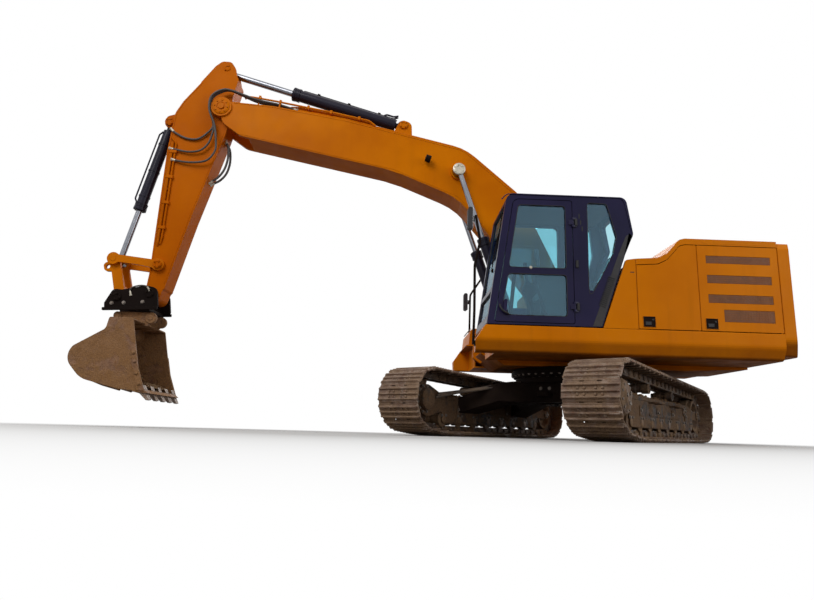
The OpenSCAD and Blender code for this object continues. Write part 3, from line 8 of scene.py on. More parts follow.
# %% Load the frame
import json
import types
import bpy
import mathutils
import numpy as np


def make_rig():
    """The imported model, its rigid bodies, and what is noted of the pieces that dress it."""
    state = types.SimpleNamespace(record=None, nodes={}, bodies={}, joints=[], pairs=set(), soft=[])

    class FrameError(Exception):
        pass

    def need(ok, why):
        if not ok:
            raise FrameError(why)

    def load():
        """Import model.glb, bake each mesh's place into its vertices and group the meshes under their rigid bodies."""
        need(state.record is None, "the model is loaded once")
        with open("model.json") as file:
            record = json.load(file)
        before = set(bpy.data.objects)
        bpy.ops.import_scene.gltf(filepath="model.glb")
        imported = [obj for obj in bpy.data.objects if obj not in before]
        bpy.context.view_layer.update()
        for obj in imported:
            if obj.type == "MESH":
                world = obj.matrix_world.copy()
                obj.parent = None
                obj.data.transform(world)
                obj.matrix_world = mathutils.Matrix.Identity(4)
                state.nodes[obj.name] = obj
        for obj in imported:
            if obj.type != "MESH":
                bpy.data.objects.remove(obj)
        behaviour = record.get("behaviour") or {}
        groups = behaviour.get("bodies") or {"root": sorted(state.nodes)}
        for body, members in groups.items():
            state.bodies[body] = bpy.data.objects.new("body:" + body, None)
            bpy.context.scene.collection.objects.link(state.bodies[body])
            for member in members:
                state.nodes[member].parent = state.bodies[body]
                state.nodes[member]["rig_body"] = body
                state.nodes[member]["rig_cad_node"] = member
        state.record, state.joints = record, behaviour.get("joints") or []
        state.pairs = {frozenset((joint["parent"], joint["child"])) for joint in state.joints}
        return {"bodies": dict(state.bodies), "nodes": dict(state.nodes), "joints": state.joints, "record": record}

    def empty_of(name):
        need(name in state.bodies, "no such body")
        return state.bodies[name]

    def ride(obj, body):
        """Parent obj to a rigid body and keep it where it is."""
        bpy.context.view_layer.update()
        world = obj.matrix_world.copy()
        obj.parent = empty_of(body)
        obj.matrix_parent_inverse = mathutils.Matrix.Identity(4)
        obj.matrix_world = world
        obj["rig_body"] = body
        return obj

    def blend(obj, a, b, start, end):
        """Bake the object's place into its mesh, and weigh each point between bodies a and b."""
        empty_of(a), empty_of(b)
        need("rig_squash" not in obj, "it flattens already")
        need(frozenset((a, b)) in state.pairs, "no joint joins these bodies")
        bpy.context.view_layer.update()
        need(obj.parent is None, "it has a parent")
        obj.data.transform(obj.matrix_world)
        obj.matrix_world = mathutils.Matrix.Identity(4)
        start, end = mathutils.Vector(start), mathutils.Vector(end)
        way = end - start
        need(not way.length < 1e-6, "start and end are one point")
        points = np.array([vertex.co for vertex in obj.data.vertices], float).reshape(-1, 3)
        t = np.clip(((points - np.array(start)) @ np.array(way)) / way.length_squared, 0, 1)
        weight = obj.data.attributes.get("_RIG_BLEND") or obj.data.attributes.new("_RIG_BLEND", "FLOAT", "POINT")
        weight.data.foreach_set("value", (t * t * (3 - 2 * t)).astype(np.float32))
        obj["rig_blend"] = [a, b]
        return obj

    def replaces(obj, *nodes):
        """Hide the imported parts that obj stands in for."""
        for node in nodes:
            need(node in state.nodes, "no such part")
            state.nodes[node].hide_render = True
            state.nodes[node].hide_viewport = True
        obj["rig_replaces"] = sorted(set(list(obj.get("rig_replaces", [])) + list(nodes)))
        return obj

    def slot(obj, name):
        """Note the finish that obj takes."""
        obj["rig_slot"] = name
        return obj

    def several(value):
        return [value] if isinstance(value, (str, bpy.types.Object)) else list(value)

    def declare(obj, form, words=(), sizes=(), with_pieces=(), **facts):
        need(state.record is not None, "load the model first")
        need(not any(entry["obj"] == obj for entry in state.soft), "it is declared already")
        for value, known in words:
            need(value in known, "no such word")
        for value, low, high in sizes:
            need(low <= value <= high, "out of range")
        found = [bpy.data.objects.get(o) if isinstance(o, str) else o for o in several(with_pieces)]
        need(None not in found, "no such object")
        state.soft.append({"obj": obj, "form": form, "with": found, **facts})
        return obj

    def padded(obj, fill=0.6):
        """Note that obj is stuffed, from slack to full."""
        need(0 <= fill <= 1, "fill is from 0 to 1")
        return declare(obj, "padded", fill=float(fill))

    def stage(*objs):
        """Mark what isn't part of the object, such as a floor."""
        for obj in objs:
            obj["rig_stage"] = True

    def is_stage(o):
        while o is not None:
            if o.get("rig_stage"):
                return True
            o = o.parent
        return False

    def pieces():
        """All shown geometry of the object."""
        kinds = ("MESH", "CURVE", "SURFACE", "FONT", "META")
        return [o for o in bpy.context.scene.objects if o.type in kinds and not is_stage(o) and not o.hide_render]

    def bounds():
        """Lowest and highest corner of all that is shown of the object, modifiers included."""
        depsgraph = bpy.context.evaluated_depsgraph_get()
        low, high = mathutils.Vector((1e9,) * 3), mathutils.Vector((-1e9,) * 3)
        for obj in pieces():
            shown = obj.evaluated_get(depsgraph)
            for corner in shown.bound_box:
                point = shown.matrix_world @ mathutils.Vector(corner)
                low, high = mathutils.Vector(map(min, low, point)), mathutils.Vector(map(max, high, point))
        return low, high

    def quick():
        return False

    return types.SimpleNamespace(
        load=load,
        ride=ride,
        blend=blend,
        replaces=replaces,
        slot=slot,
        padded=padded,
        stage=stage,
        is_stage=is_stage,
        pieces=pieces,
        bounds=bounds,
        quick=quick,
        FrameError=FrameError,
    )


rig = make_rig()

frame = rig.load()
solid_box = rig.bounds()

import json
from math import acos, atan2, ceil, cos, degrees, exp, hypot, pi, radians, sin, sqrt, tan
import bpy
import bmesh
from mathutils import Matrix, Vector

scene = bpy.context.scene
nodes = frame["nodes"]
print(len(nodes), "solids in", len(frame["bodies"]), "bodies")

# %% [markdown]
# ## Frames of the machine
# A maker draws the boom lying flat and the tracks pointing straight ahead. Each of those drawings has its
# own matrix here, so a hose or a bolt can be given by the numbers on its own drawing, in millimetres.

# %% Drawing frames
MM = 0.001
SIDES = (-1, 1)
SLEW_AXIS_X = 1787.7078562720699
TRACK_HEADING, TRACK_GAUGE = -128, 2380
BOOM_FOOT, BOOM_TIP, NOSE = (50, 1750), (4969.0, 4590), (5680.4, 1778.6)
BOOM_ANGLE, STICK_ANGLE = 30, 75.8
SHRINK = Matrix.Scale(MM, 4)
UPPER = SHRINK @ Matrix.Translation((-SLEW_AXIS_X, 0, 0))
UNDER = UPPER @ Matrix.Rotation(radians(TRACK_HEADING), 4, "Z")


def at_pin(pin, angle=0):
    """Frame with its origin on a pin of the upper structure, turned down by an angle."""
    return UPPER @ Matrix.Translation((pin[0], 0, pin[1])) @ Matrix.Rotation(radians(angle), 4, "Y")


def on_line(p, q, y=0):
    """Frame with its origin at p and its x axis towards q, for a cylinder or a link."""
    turn = Matrix.Rotation(-atan2(q[1] - p[1], q[0] - p[0]), 4, "Y")
    return UPPER @ Matrix.Translation((p[0], y, p[1])) @ turn


BOOM = at_pin(BOOM_FOOT, -BOOM_ANGLE)
STICK = at_pin(BOOM_TIP, STICK_ANGLE)
COUPLER = at_pin(NOSE)
print("slew axis at", round(-SLEW_AXIS_X * MM, 3), "m")

# %% [markdown]
# ## Drafts
# Most small parts of a machine are plates, bars, turned parts and bent tubes. A draft collects such
# shapes, each a closed shell, and makes one mesh of them with softened edges. Sheet and bar stock is
# never razor sharp, and a Bevel modifier gives its edges the thin highlight that the eye expects.


# %% Rounded outlines
BEND_STEP = 15


def rounded(points, step=BEND_STEP):
    """Outline whose corners [x, y, radius] are turned with an arc."""
    result, count = [], len(points)
    for i, (x, y, radius) in enumerate(points):
        here = Vector((x, y))
        before = (Vector(points[i - 1][:2]) - here).normalized()
        after = (Vector(points[(i + 1) % count][:2]) - here).normalized()
        half = acos(max(-1, min(1, before.dot(after)))) / 2
        if radius == 0 or half > radians(89):
            result.append((x, y))
            continue
        middle = here + (before + after).normalized() * radius / sin(half)
        start, end = (here + d * radius / tan(half) - middle for d in (before, after))
        turn = (atan2(end.y, end.x) - atan2(start.y, start.x) + pi) % (2 * pi) - pi
        parts = max(1, ceil(abs(degrees(turn)) / step))
        for k in range(parts + 1):
            a = atan2(start.y, start.x) + turn * k / parts
            result.append((middle.x + radius * cos(a), middle.y + radius * sin(a)))
    return result


print("a soft square has", len(rounded([(0, 0, 2), (9, 0, 2), (9, 9, 2), (0, 9, 2)])), "points")


# %% Smooth and bent paths
def smooth_path(points, parts=6):
    """Points on a smooth curve through the given points."""
    p = [Vector(q) for q in points]
    p = [p[0] * 2 - p[1]] + p + [p[-1] * 2 - p[-2]]
    result = []
    for a, b, c, d in zip(p, p[1:], p[2:], p[3:]):
        for k in range(parts):
            t = k / parts
            result.append(0.5 * (2 * b + (c - a) * t + (2 * a - 5 * b + 4 * c - d) * t * t
                                 + (3 * b - a - 3 * c + d) * t ** 3))
    return result + [p[-2]]


def bent_path(points, radius):
    """A bar's path with its corners bent to a radius, for points in space."""
    p = [Vector(q) for q in points]
    result = [p[0]]
    for a, b, c in zip(p, p[1:], p[2:]):
        before, after = (a - b).normalized(), (c - b).normalized()
        half = acos(max(-1, min(1, before.dot(after)))) / 2
        if half > radians(88):
            result.append(b)
            continue
        reach = min(radius / tan(half), (a - b).length * 0.49, (c - b).length * 0.49)
        first, last = b + before * reach, b + after * reach
        parts = max(2, ceil((180 - degrees(half) * 2) / BEND_STEP))
        for k in range(parts + 1):
            t = k / parts
            result.append(first * (1 - t) ** 2 + b * 2 * t * (1 - t) + last * t * t)
    return result + [p[-1]]


def bent_loop(corners, radius):
    """The same for a closed path."""
    return bent_path(corners + corners[:2], radius)[1:-1]


print("a bar with one bend has", len(bent_path([(0, 0, 0), (9, 0, 0), (9, 9, 0)], 2)), "points")


# %% The draft
def closed_mesh(name, points, faces):
    """A mesh whose faces all point outwards."""
    mesh = bpy.data.meshes.new(name)
    mesh.from_pydata(points, [], faces)
    shell = bmesh.new()
    shell.from_mesh(mesh)
    bmesh.ops.recalc_face_normals(shell, faces=shell.faces)
    shell.to_mesh(mesh)
    shell.free()
    return mesh


def linked(name, data):
    piece = bpy.data.objects.new(name, data)
    scene.collection.objects.link(piece)
    return piece


def subdivide(piece):
    finer = piece.modifiers.new("Finer", "SUBSURF")
    finer.levels = finer.render_levels = 1


class Draft:
    """Shapes on one frame. A shape may have a place of its own on that frame."""

    def __init__(self, frame_at=Matrix()):
        self.place, self.points, self.faces = frame_at, [], []

    def add(self, points, faces, place=None):
        start = len(self.points)
        matrix = self.place @ place if place else self.place
        self.points += [matrix @ Vector(p) for p in points]
        self.faces += [[start + i for i in f] for f in faces]

    def loft(self, rings, closed=False, place=None):
        n, count = len(rings[0]), len(rings)
        faces = []
        for j in range(count if closed else count - 1):
            a, b = j * n, (j + 1) % count * n
            faces += [[a + k, a + (k + 1) % n, b + (k + 1) % n, b + k] for k in range(n)]
        if not closed:
            faces += [list(range(n))[::-1], list(range((count - 1) * n, count * n))]
        self.add([p for r in rings for p in r], faces, place)

    def block(self, low, high, place=None):
        (a, b, c), (d, e, f) = low, high
        self.loft([[(a, b, z), (d, b, z), (d, e, z), (a, e, z)] for z in (c, f)], place=place)

    def plate(self, outline, low, high):
        """An outline in the x-z plane, as thick as from y = low to y = high."""
        self.loft([[(x, y, z) for x, z in outline] for y in (low, high)])

    def turned(self, profile, foot=(0, 0, 0), way=(0, 0, 1), sides=24, place=None):
        """A turned part: profile is [radius, height] along an axis from its foot."""
        stand = Matrix.Translation(foot) @ Vector(way).to_track_quat("Z", "Y").to_matrix().to_4x4()
        rings = [[(max(r, 0.01) * cos(2 * pi * k / sides), max(r, 0.01) * sin(2 * pi * k / sides), h)
                  for k in range(sides)] for r, h in profile]
        self.loft(rings, place=place @ stand if place else stand)

    def tube(self, path, radius, sides=10, closed=False, place=None):
        """A tube along a path. With a place, both are given in its millimetres."""
        path = [place @ Vector(p) if place else Vector(p) for p in path]
        radius = radius * MM if place else radius
        n, rings, side = len(path), [], None
        for i, p in enumerate(path):
            ahead = path[(i + 1) % n] if closed or i < n - 1 else p
            behind = path[i - 1] if closed or i > 0 else p
            t = (ahead - behind).normalized()
            side = side - t * side.dot(t) if side else t.orthogonal()
            side.normalize()
            other = t.cross(side)
            rings.append([p + (side * cos(2 * pi * k / sides) + other * sin(2 * pi * k / sides)) * radius
                          for k in range(sides)])
        self.loft(rings, closed)

    def make(self, name, body, finish, edge=1.5, crease=35):
        mesh = closed_mesh(name, self.points, self.faces)
        mesh.materials.append(finish)
        mesh.polygons.foreach_set("use_smooth", [True] * len(mesh.polygons))
        mesh.set_sharp_from_angle(angle=radians(crease))
        piece = linked(name, mesh)
        if edge:
            bevel = piece.modifiers.new("Soft edges", "BEVEL")
            bevel.width, bevel.segments, bevel.angle_limit = edge * MM, 2, radians(40)
            bevel.limit_method = "ANGLE"
        if body:
            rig.ride(piece, body)
        return piece


print("drafts can make plates, blocks, turned parts and tubes")

# %% [markdown]
# ## Trees that repeat a part
# Bolts, slats, studs and lumps of soil repeat by the hundred. Each kind is a Geometry Nodes tree with
# named inputs. The tree ends in Realize Instances and Set Material, and its result becomes a plain mesh.


# %% Node groups and their nodes
SOCKETS = {"number": "NodeSocketFloat", "count": "NodeSocketInt", "vector": "NodeSocketVector",
           "material": "NodeSocketMaterial", "object": "NodeSocketObject", "shape": "NodeSocketGeometry"}


def new_group(name, kind, inputs, outputs):
    """A node group with named sockets: inputs are (name, kind, default), outputs are (name, kind)."""
    group = bpy.data.node_groups.new(name, kind)
    for label, socket, default in inputs:
        made = group.interface.new_socket(label, in_out="INPUT", socket_type=SOCKETS[socket])
        if default is not None:
            made.default_value = default
    for label, socket in outputs:
        group.interface.new_socket(label, in_out="OUTPUT", socket_type=SOCKETS[socket])
    return group, node(group, "NodeGroupInput").outputs


def node(tree, kind, links=None, **settings):
    """Adds a node. links gives its inputs by name or number: a socket, or a plain value."""
    made = tree.nodes.new(kind)
    for label, value in settings.items():
        setattr(made, label, value)
    for label, value in (links or {}).items():
        if isinstance(value, bpy.types.NodeSocket):
            tree.links.new(value, made.inputs[label])
        else:
            made.inputs[label].default_value = value
    return made


def out(tree, kind, links=None, **settings):
    """The first output of a new node."""
    return node(tree, kind, links, **settings).outputs[0]


def maths(tree, how, a, b, clamp=False):
    return out(tree, "ShaderNodeMath", {0: a, 1: b}, operation=how, use_clamp=clamp)


print(len(SOCKETS), "kinds of socket for a group")


# %% Trees whose result becomes a piece
def geometry_tree(name, inputs):
    return new_group(name, "GeometryNodeTree", [("Geometry", "shape", None)] + inputs
                     + [("Finish", "material", None)], [("Geometry", "shape")])


def instances(tree, points, instance, **more):
    return out(tree, "GeometryNodeInstanceOnPoints", {"Points": points, "Instance": instance, **more})


def attribute(tree, name):
    return out(tree, "GeometryNodeInputNamedAttribute", {"Name": name}, data_type="FLOAT_VECTOR")


def finish_tree(tree, shapes, material):
    real = out(tree, "GeometryNodeRealizeInstances", {"Geometry": shapes})
    dressed = out(tree, "GeometryNodeSetMaterial", {"Geometry": real, "Material": material})
    node(tree, "NodeGroupOutput", {"Geometry": dressed})


def grown(name, body, start_mesh, tree, place=None, smooth=0, **values):
    """Runs a tree on a mesh and keeps the result as a plain mesh that rides on a body."""
    piece = linked(name, start_mesh)
    modifier = piece.modifiers.new("Nodes", "NODES")
    modifier.node_group = tree
    for item in tree.interface.items_tree:
        key = item.name.lower()
        if item.item_type == "SOCKET" and item.in_out == "INPUT" and key in values:
            modifier[item.identifier] = values[key]
    piece.update_tag()
    graph = bpy.context.evaluated_depsgraph_get()
    mesh = bpy.data.meshes.new_from_object(piece.evaluated_get(graph), depsgraph=graph)
    piece.modifiers.clear()
    piece.data = mesh
    if place:
        mesh.transform(place)
    mesh.polygons.foreach_set("use_smooth", [bool(smooth)] * len(mesh.polygons))
    if smooth:
        mesh.set_sharp_from_angle(angle=radians(smooth))
    mesh.name = name
    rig.ride(piece, body)
    return piece


def marks(name, places, **ways):
    """A mesh of single points, with directions kept as attributes for a tree."""
    mesh = bpy.data.meshes.new(name)
    mesh.from_pydata([Vector(p) for p in places], [], [])
    for label, values in ways.items():
        kept = mesh.attributes.new(label, "FLOAT_VECTOR", "POINT")
        kept.data.foreach_set("vector", [c for v in values for c in v])
    return mesh


print("a grown piece is a plain mesh on its body")


# %% Tree for bolts
bolt_tree, given = geometry_tree("Bolts", [("Flats", "number", 0.03), ("Head", "number", 0.015)])
head = out(bolt_tree, "GeometryNodeMeshCylinder", {
    "Vertices": 6, "Radius": maths(bolt_tree, "DIVIDE", given["Flats"], 1.732), "Depth": given["Head"]})
washer = out(bolt_tree, "GeometryNodeMeshCylinder", {
    "Vertices": 12, "Radius": maths(bolt_tree, "MULTIPLY", given["Flats"], 0.8),
    "Depth": maths(bolt_tree, "MULTIPLY", given["Head"], 0.22)})
rise = out(bolt_tree, "ShaderNodeCombineXYZ", {"Z": maths(bolt_tree, "MULTIPLY", given["Head"], 0.5)})
lifted = out(bolt_tree, "GeometryNodeTransform", {"Geometry": head, "Translation": rise})
both = node(bolt_tree, "GeometryNodeJoinGeometry")
for shape in (lifted, washer):
    bolt_tree.links.new(shape, both.inputs[0])
turn = out(bolt_tree, "FunctionNodeAlignRotationToVector", {"Vector": attribute(bolt_tree, "way")}, axis="Z")
placed = instances(bolt_tree, given["Geometry"], both.outputs[0], Rotation=turn)
finish_tree(bolt_tree, placed, given["Finish"])


def bolts(name, body, place, spots, finish, flats=30, head=15):
    """spots are (point, direction) on a drawing in millimetres."""
    turned = place.to_3x3()
    mesh = marks(name, [place @ Vector(p) for p, _ in spots],
                 way=[(turned @ Vector(d)).normalized() for _, d in spots])
    return grown(name, body, mesh, bolt_tree, flats=flats * MM, head=head * MM, finish=finish)


def ring(middle, way, radius, count, start=0):
    """Spots of a ring of bolts."""
    way = Vector(way).normalized()
    side = way.orthogonal().normalized()
    other = way.cross(side)
    return [(Vector(middle) + (side * cos(a) + other * sin(a)) * radius, way)
            for a in (start + 2 * pi * k / count for k in range(count))]


print("a bolt takes", len(bolt_tree.nodes), "nodes")


# %% Tree for slats, bars and ribs in a straight row
slat_tree, given = geometry_tree("Slats", [
    ("Count", "count", 10), ("Start", "vector", (0, 0, 0)), ("Step", "vector", (0, 0, 1)),
    ("Size", "vector", (1, 1, 1))])
row = out(slat_tree, "GeometryNodeMeshLine", {
    "Count": given["Count"], "Start Location": given["Start"], "Offset": given["Step"]})
slat = out(slat_tree, "GeometryNodeMeshCube", {"Size": given["Size"]})
finish_tree(slat_tree, instances(slat_tree, row, slat), given["Finish"])


def slats(name, body, place, count, start, step, size, finish):
    return grown(name, body, bpy.data.meshes.new(name), slat_tree, place, count=count, start=start, step=step,
                 size=size, finish=finish)


print("a row of slats takes", len(slat_tree.nodes), "nodes")


# %% Tree for studs on a tread plate
stud_tree, given = geometry_tree("Studs", [
    ("Length", "number", 1.0), ("Width", "number", 1.0), ("Columns", "count", 5), ("Rows", "count", 5),
    ("Radius", "number", 1.0), ("Height", "number", 1.0)])
grid = out(stud_tree, "GeometryNodeMeshGrid", {
    "Size X": given["Length"], "Size Y": given["Width"], "Vertices X": given["Columns"],
    "Vertices Y": given["Rows"]})
stud = out(stud_tree, "GeometryNodeMeshCone", {
    "Vertices": 8, "Radius Top": maths(stud_tree, "MULTIPLY", given["Radius"], 0.6),
    "Radius Bottom": given["Radius"], "Depth": given["Height"]})
finish_tree(stud_tree, instances(stud_tree, grid, stud), given["Finish"])
STUD_RADIUS, STUD_HEIGHT = 13, 5


def studs(name, body, place, middle, size, counts, finish):
    return grown(name, body, bpy.data.meshes.new(name), stud_tree, place @ Matrix.Translation(middle),
                 length=size[0], width=size[1], columns=counts[0], rows=counts[1], radius=STUD_RADIUS,
                 height=STUD_HEIGHT, finish=finish)


print("a field of studs takes", len(stud_tree.nodes), "nodes")


# %% Tree for lumps of soil on a surface
lump_tree, given = geometry_tree("Lumps", [
    ("Density", "number", 100.0), ("Smallest", "number", 0.01), ("Largest", "number", 0.04),
    ("Seed", "count", 1)])
spread = out(lump_tree, "GeometryNodeDistributePointsOnFaces", {
    "Mesh": given["Geometry"], "Density": given["Density"], "Seed": given["Seed"]})
size = node(lump_tree, "FunctionNodeRandomValue", {
    2: given["Smallest"], 3: given["Largest"], "Seed": given["Seed"]}, data_type="FLOAT")
spin = out(lump_tree, "FunctionNodeRandomValue", {
    0: (0, 0, 0), 1: (6.28, 6.28, 6.28), "Seed": 7}, data_type="FLOAT_VECTOR")
ball = out(lump_tree, "GeometryNodeMeshIcoSphere", {"Radius": 1.0, "Subdivisions": 2})
flat = out(lump_tree, "GeometryNodeTransform", {"Geometry": ball, "Scale": (1.0, 0.8, 0.62)})
placed = instances(lump_tree, spread, flat, Rotation=spin, Scale=size.outputs[1])
real = out(lump_tree, "GeometryNodeRealizeInstances", {"Geometry": placed})
spot = out(lump_tree, "GeometryNodeInputPosition")
rough = node(lump_tree, "ShaderNodeTexNoise", {"Vector": spot, "Scale": 70.0})
centre = out(lump_tree, "ShaderNodeVectorMath", {0: rough.outputs["Color"], 1: (0.5, 0.5, 0.5)},
             operation="SUBTRACT")
push = out(lump_tree, "ShaderNodeVectorMath", {0: centre, "Scale": 0.018}, operation="SCALE")
moved = out(lump_tree, "GeometryNodeSetPosition", {"Geometry": real, "Offset": push})
finish_tree(lump_tree, moved, given["Finish"])
SMALLEST_LUMP = 8


def lumps(name, body, mesh, finish, density, largest, seed):
    return grown(name, body, mesh, lump_tree, smooth=60, density=density, smallest=SMALLEST_LUMP * MM,
                 largest=largest * MM, seed=seed, finish=finish)


print("lumps of soil take", len(lump_tree.nodes), "nodes")


# %% Tree for links along a chain
chain_tree, given = geometry_tree("Chain", [("Link", "object", None)])
link = node(chain_tree, "GeometryNodeObjectInfo", {"Object": given["Link"], "As Instance": True})
turn = out(chain_tree, "FunctionNodeAxesToRotation", {
    0: attribute(chain_tree, "out"), 1: attribute(chain_tree, "along")}, primary_axis="Z", secondary_axis="X")
placed = instances(chain_tree, given["Geometry"], link.outputs["Geometry"], Rotation=turn)
finish_tree(chain_tree, placed, given["Finish"])
print("trees:", ", ".join(g.name for g in bpy.data.node_groups))

# %% [markdown]
# ## Camera and studio
# The photograph was taken from low ground with the cab side in view. The camera stands at floor level for
# that reason, and its turn, tilt and roll come from fitting the pins and corners of the machine to the
# photograph. A pale floor and a large soft lamp from the cab side show the shapes plainly. What the
# camera, glossy metal and glass see around the machine is white.

# %% Camera
YAW, PITCH, ROLL = radians(-1.505), radians(11.912), radians(1.651)
FOCAL_PIXELS, IMAGE_WIDTH, SENSOR = 621.454, 814, 36
CAMERA_AT = (0.620, 8.601, 0.05)
level_right = Vector((-cos(YAW), -sin(YAW), 0))
level_ahead = Vector((sin(YAW), -cos(YAW), 0))
up = Vector((0, 0, 1))
ahead = level_ahead * cos(PITCH) + up * sin(PITCH)
above = up * cos(PITCH) - level_ahead * sin(PITCH)
right = level_right * cos(ROLL) + above * sin(ROLL)
above = above * cos(ROLL) - level_right * sin(ROLL)
lens = bpy.data.cameras.new("camera")
lens.sensor_width, lens.lens = SENSOR, FOCAL_PIXELS / IMAGE_WIDTH * SENSOR
lens.clip_end = 500
camera = linked("camera", lens)
camera.matrix_world = Matrix.Translation(CAMERA_AT) @ Matrix((right, above, -ahead)).transposed().to_4x4()
scene.camera = camera
scene.view_settings.view_transform = "Standard"
print("lens", round(lens.lens, 2), "mm")


# %% Soft lamps
def soft_lamp(name, place, target, size, watts, colour=(1, 1, 1)):
    data = bpy.data.lights.new(name, "AREA")
    data.shape, data.size, data.energy, data.color = "DISK", size, watts, colour
    lamp = linked(name, data)
    lamp.location = place
    lamp.rotation_euler = (Vector(target) - Vector(place)).to_track_quat("-Z", "Y").to_euler()


soft_lamp("key", (7.5, 11, 12), (0, 0, 1.6), 9, 1050, (1.0, 0.985, 0.96))
soft_lamp("fill", (-12, 9, 5.5), (-1, 0, 1.6), 8, 420, (0.96, 0.98, 1.0))
soft_lamp("rim", (-3, -11, 11), (0, 0, 2), 9, 700)
print("three soft lamps")


# %% Steps that many shaders share
def mixed_shaders(tree, share, first, second):
    return out(tree, "ShaderNodeMixShader", {0: share, 1: first, 2: second})


def where(tree):
    """A point on the object's own axes."""
    return node(tree, "ShaderNodeTexCoord").outputs["Object"]


def noise(tree, scale, vector=None, **more):
    links = {"Vector": vector or where(tree), "Scale": scale, **more}
    return node(tree, "ShaderNodeTexNoise", links).outputs["Fac"]


def cells(tree, scale):
    return node(tree, "ShaderNodeTexVoronoi", {"Vector": where(tree), "Scale": scale}).outputs["Distance"]


def mapped(tree, value, *limits):
    """A value spread from the first two limits to the next two, which are 0 and 1 if left out."""
    return out(tree, "ShaderNodeMapRange", {0: value, **dict(enumerate(limits, 1))})


print("masks come from noise, cells and ranges")

# %% White surroundings
world = bpy.data.worlds.new("studio")
scene.world = world
world.use_nodes = True
sky = world.node_tree
sky.nodes.clear()
seen = node(sky, "ShaderNodeLightPath").outputs
shows = maths(sky, "MAXIMUM", seen["Is Camera Ray"], seen["Is Glossy Ray"])
shows = maths(sky, "MAXIMUM", shows, seen["Is Transmission Ray"])
plain = out(sky, "ShaderNodeBackground", {"Color": (0.93, 0.92, 0.90, 1), "Strength": 0.42})
white = out(sky, "ShaderNodeBackground", {"Color": (1, 1, 1, 1), "Strength": 1.0})
node(sky, "ShaderNodeOutputWorld", {"Surface": mixed_shaders(sky, shows, plain, white)})

print("white for camera, glossy and clear rays")


# %% The floor
def empty_material(name):
    made = bpy.data.materials.new(name)
    made.use_nodes = True
    made.node_tree.nodes.clear()
    return made, made.node_tree


FLOOR_HALF, FADE_FROM, FADE_TO = 60, 3.6, 8.2
floor_look, tree = empty_material("studio_floor")
matte = out(tree, "ShaderNodeBsdfDiffuse", {"Color": mapped(tree, noise(tree, 0.35), 0.0, 1.0, 0.60, 0.66)})
dim = out(tree, "ShaderNodeBsdfDiffuse", {"Color": (0.20, 0.17, 0.14, 1)})
far = node(tree, "ShaderNodeVectorMath", {0: where(tree)}, operation="LENGTH").outputs["Value"]
glow = out(tree, "ShaderNodeEmission", {"Color": (1, 1, 1, 1), "Strength": 1.0})
seen = node(tree, "ShaderNodeLightPath").outputs
bounce = mixed_shaders(tree, seen["Is Diffuse Ray"], matte, dim)
faded = maths(tree, "MULTIPLY", mapped(tree, far, FADE_FROM, FADE_TO), seen["Is Camera Ray"])
node(tree, "ShaderNodeOutputMaterial", {"Surface": mixed_shaders(tree, faded, bounce, glow)})
mesh = bpy.data.meshes.new("studio_floor")
mesh.from_pydata([(x * FLOOR_HALF, y * FLOOR_HALF, 0) for x, y in ((-1, -1), (1, -1), (1, 1), (-1, 1))], [],
                 [(0, 1, 2, 3)])
mesh.materials.append(floor_look)
studio_floor = linked("studio_floor", mesh)
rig.stage(studio_floor)
print("a pale floor that fades to white", FADE_TO, "m out")

# %% [markdown]
# ## Effects that several finishes share
# Wear, dust and mud fall on paint, steel and rubber alike. Each is a shader group that puts out a mask or
# a height. Wear sits where an edge is proud: the Bevel node gives the normal of a rounded edge, and where
# that differs from the flat face the paint is rubbed. Dust settles on faces that look up and on the lower
# parts; mud dries in patches with thick rims. One more group lays painted shade, a dark brown in patches,
# on faces that look down.


# %% Shader groups
def effect(name, values, outputs=(("Mask", "number"),)):
    return new_group(name, "ShaderNodeTree", [(label, "number", v) for label, v in values.items()], outputs)


def z_of(tree, vector):
    return node(tree, "ShaderNodeSeparateXYZ", {0: vector}).outputs["Z"]


def true_normal(tree):
    return node(tree, "ShaderNodeNewGeometry").outputs["Normal"]


def masked(tree, a, b, amount):
    """The mask that a group puts out: two masks and an amount, multiplied."""
    return maths(tree, "MULTIPLY", maths(tree, "MULTIPLY", a, b), amount, True)


edge_group, given = effect("Rubbed edges", {"Radius": 0.006, "Amount": 0.5, "Grain": 14.0},
                           (("Mask", "number"), ("Normal", "vector")))
rounded_edge = out(edge_group, "ShaderNodeBevel", {"Radius": given["Radius"]}, samples=4)
alike = node(edge_group, "ShaderNodeVectorMath", {0: rounded_edge, 1: true_normal(edge_group)},
             operation="DOT_PRODUCT").outputs["Value"]
broken = mapped(edge_group, noise(edge_group, given["Grain"], Detail=6.0, Roughness=0.7), 0.46, 0.62)
worn = masked(edge_group, mapped(edge_group, alike, 0.995, 0.90), broken, given["Amount"])
node(edge_group, "NodeGroupOutput", {"Mask": worn, "Normal": rounded_edge})

dust_group, given = effect("Settled dust", {"Amount": 0.5, "Low": 0.0, "High": 3.0, "Grain": 3.0})
looks_up = mapped(dust_group, z_of(dust_group, true_normal(dust_group)), 0.1, 0.9)
lower = mapped(dust_group, z_of(dust_group, where(dust_group)), given["High"], given["Low"])
patchy = mapped(dust_group, noise(dust_group, given["Grain"], Detail=8.0, Roughness=0.62), 0.36, 0.66)
node(dust_group, "NodeGroupOutput", {
    "Mask": masked(dust_group, maths(dust_group, "ADD", looks_up, lower), patchy, given["Amount"])})

streak_group, given = effect("Rain streaks", {"Amount": 0.3, "Grain": 9.0})
long_way = out(streak_group, "ShaderNodeMapping", {"Vector": where(streak_group), "Scale": (1, 1, 0.09)})
fine = noise(streak_group, given["Grain"], long_way, Detail=5.0, Roughness=0.6)
fine = mapped(streak_group, fine, 0.5, 0.78)
wide = mapped(streak_group, noise(streak_group, 0.9), 0.4, 0.7)
node(streak_group, "NodeGroupOutput", {"Mask": masked(streak_group, fine, wide, given["Amount"])})
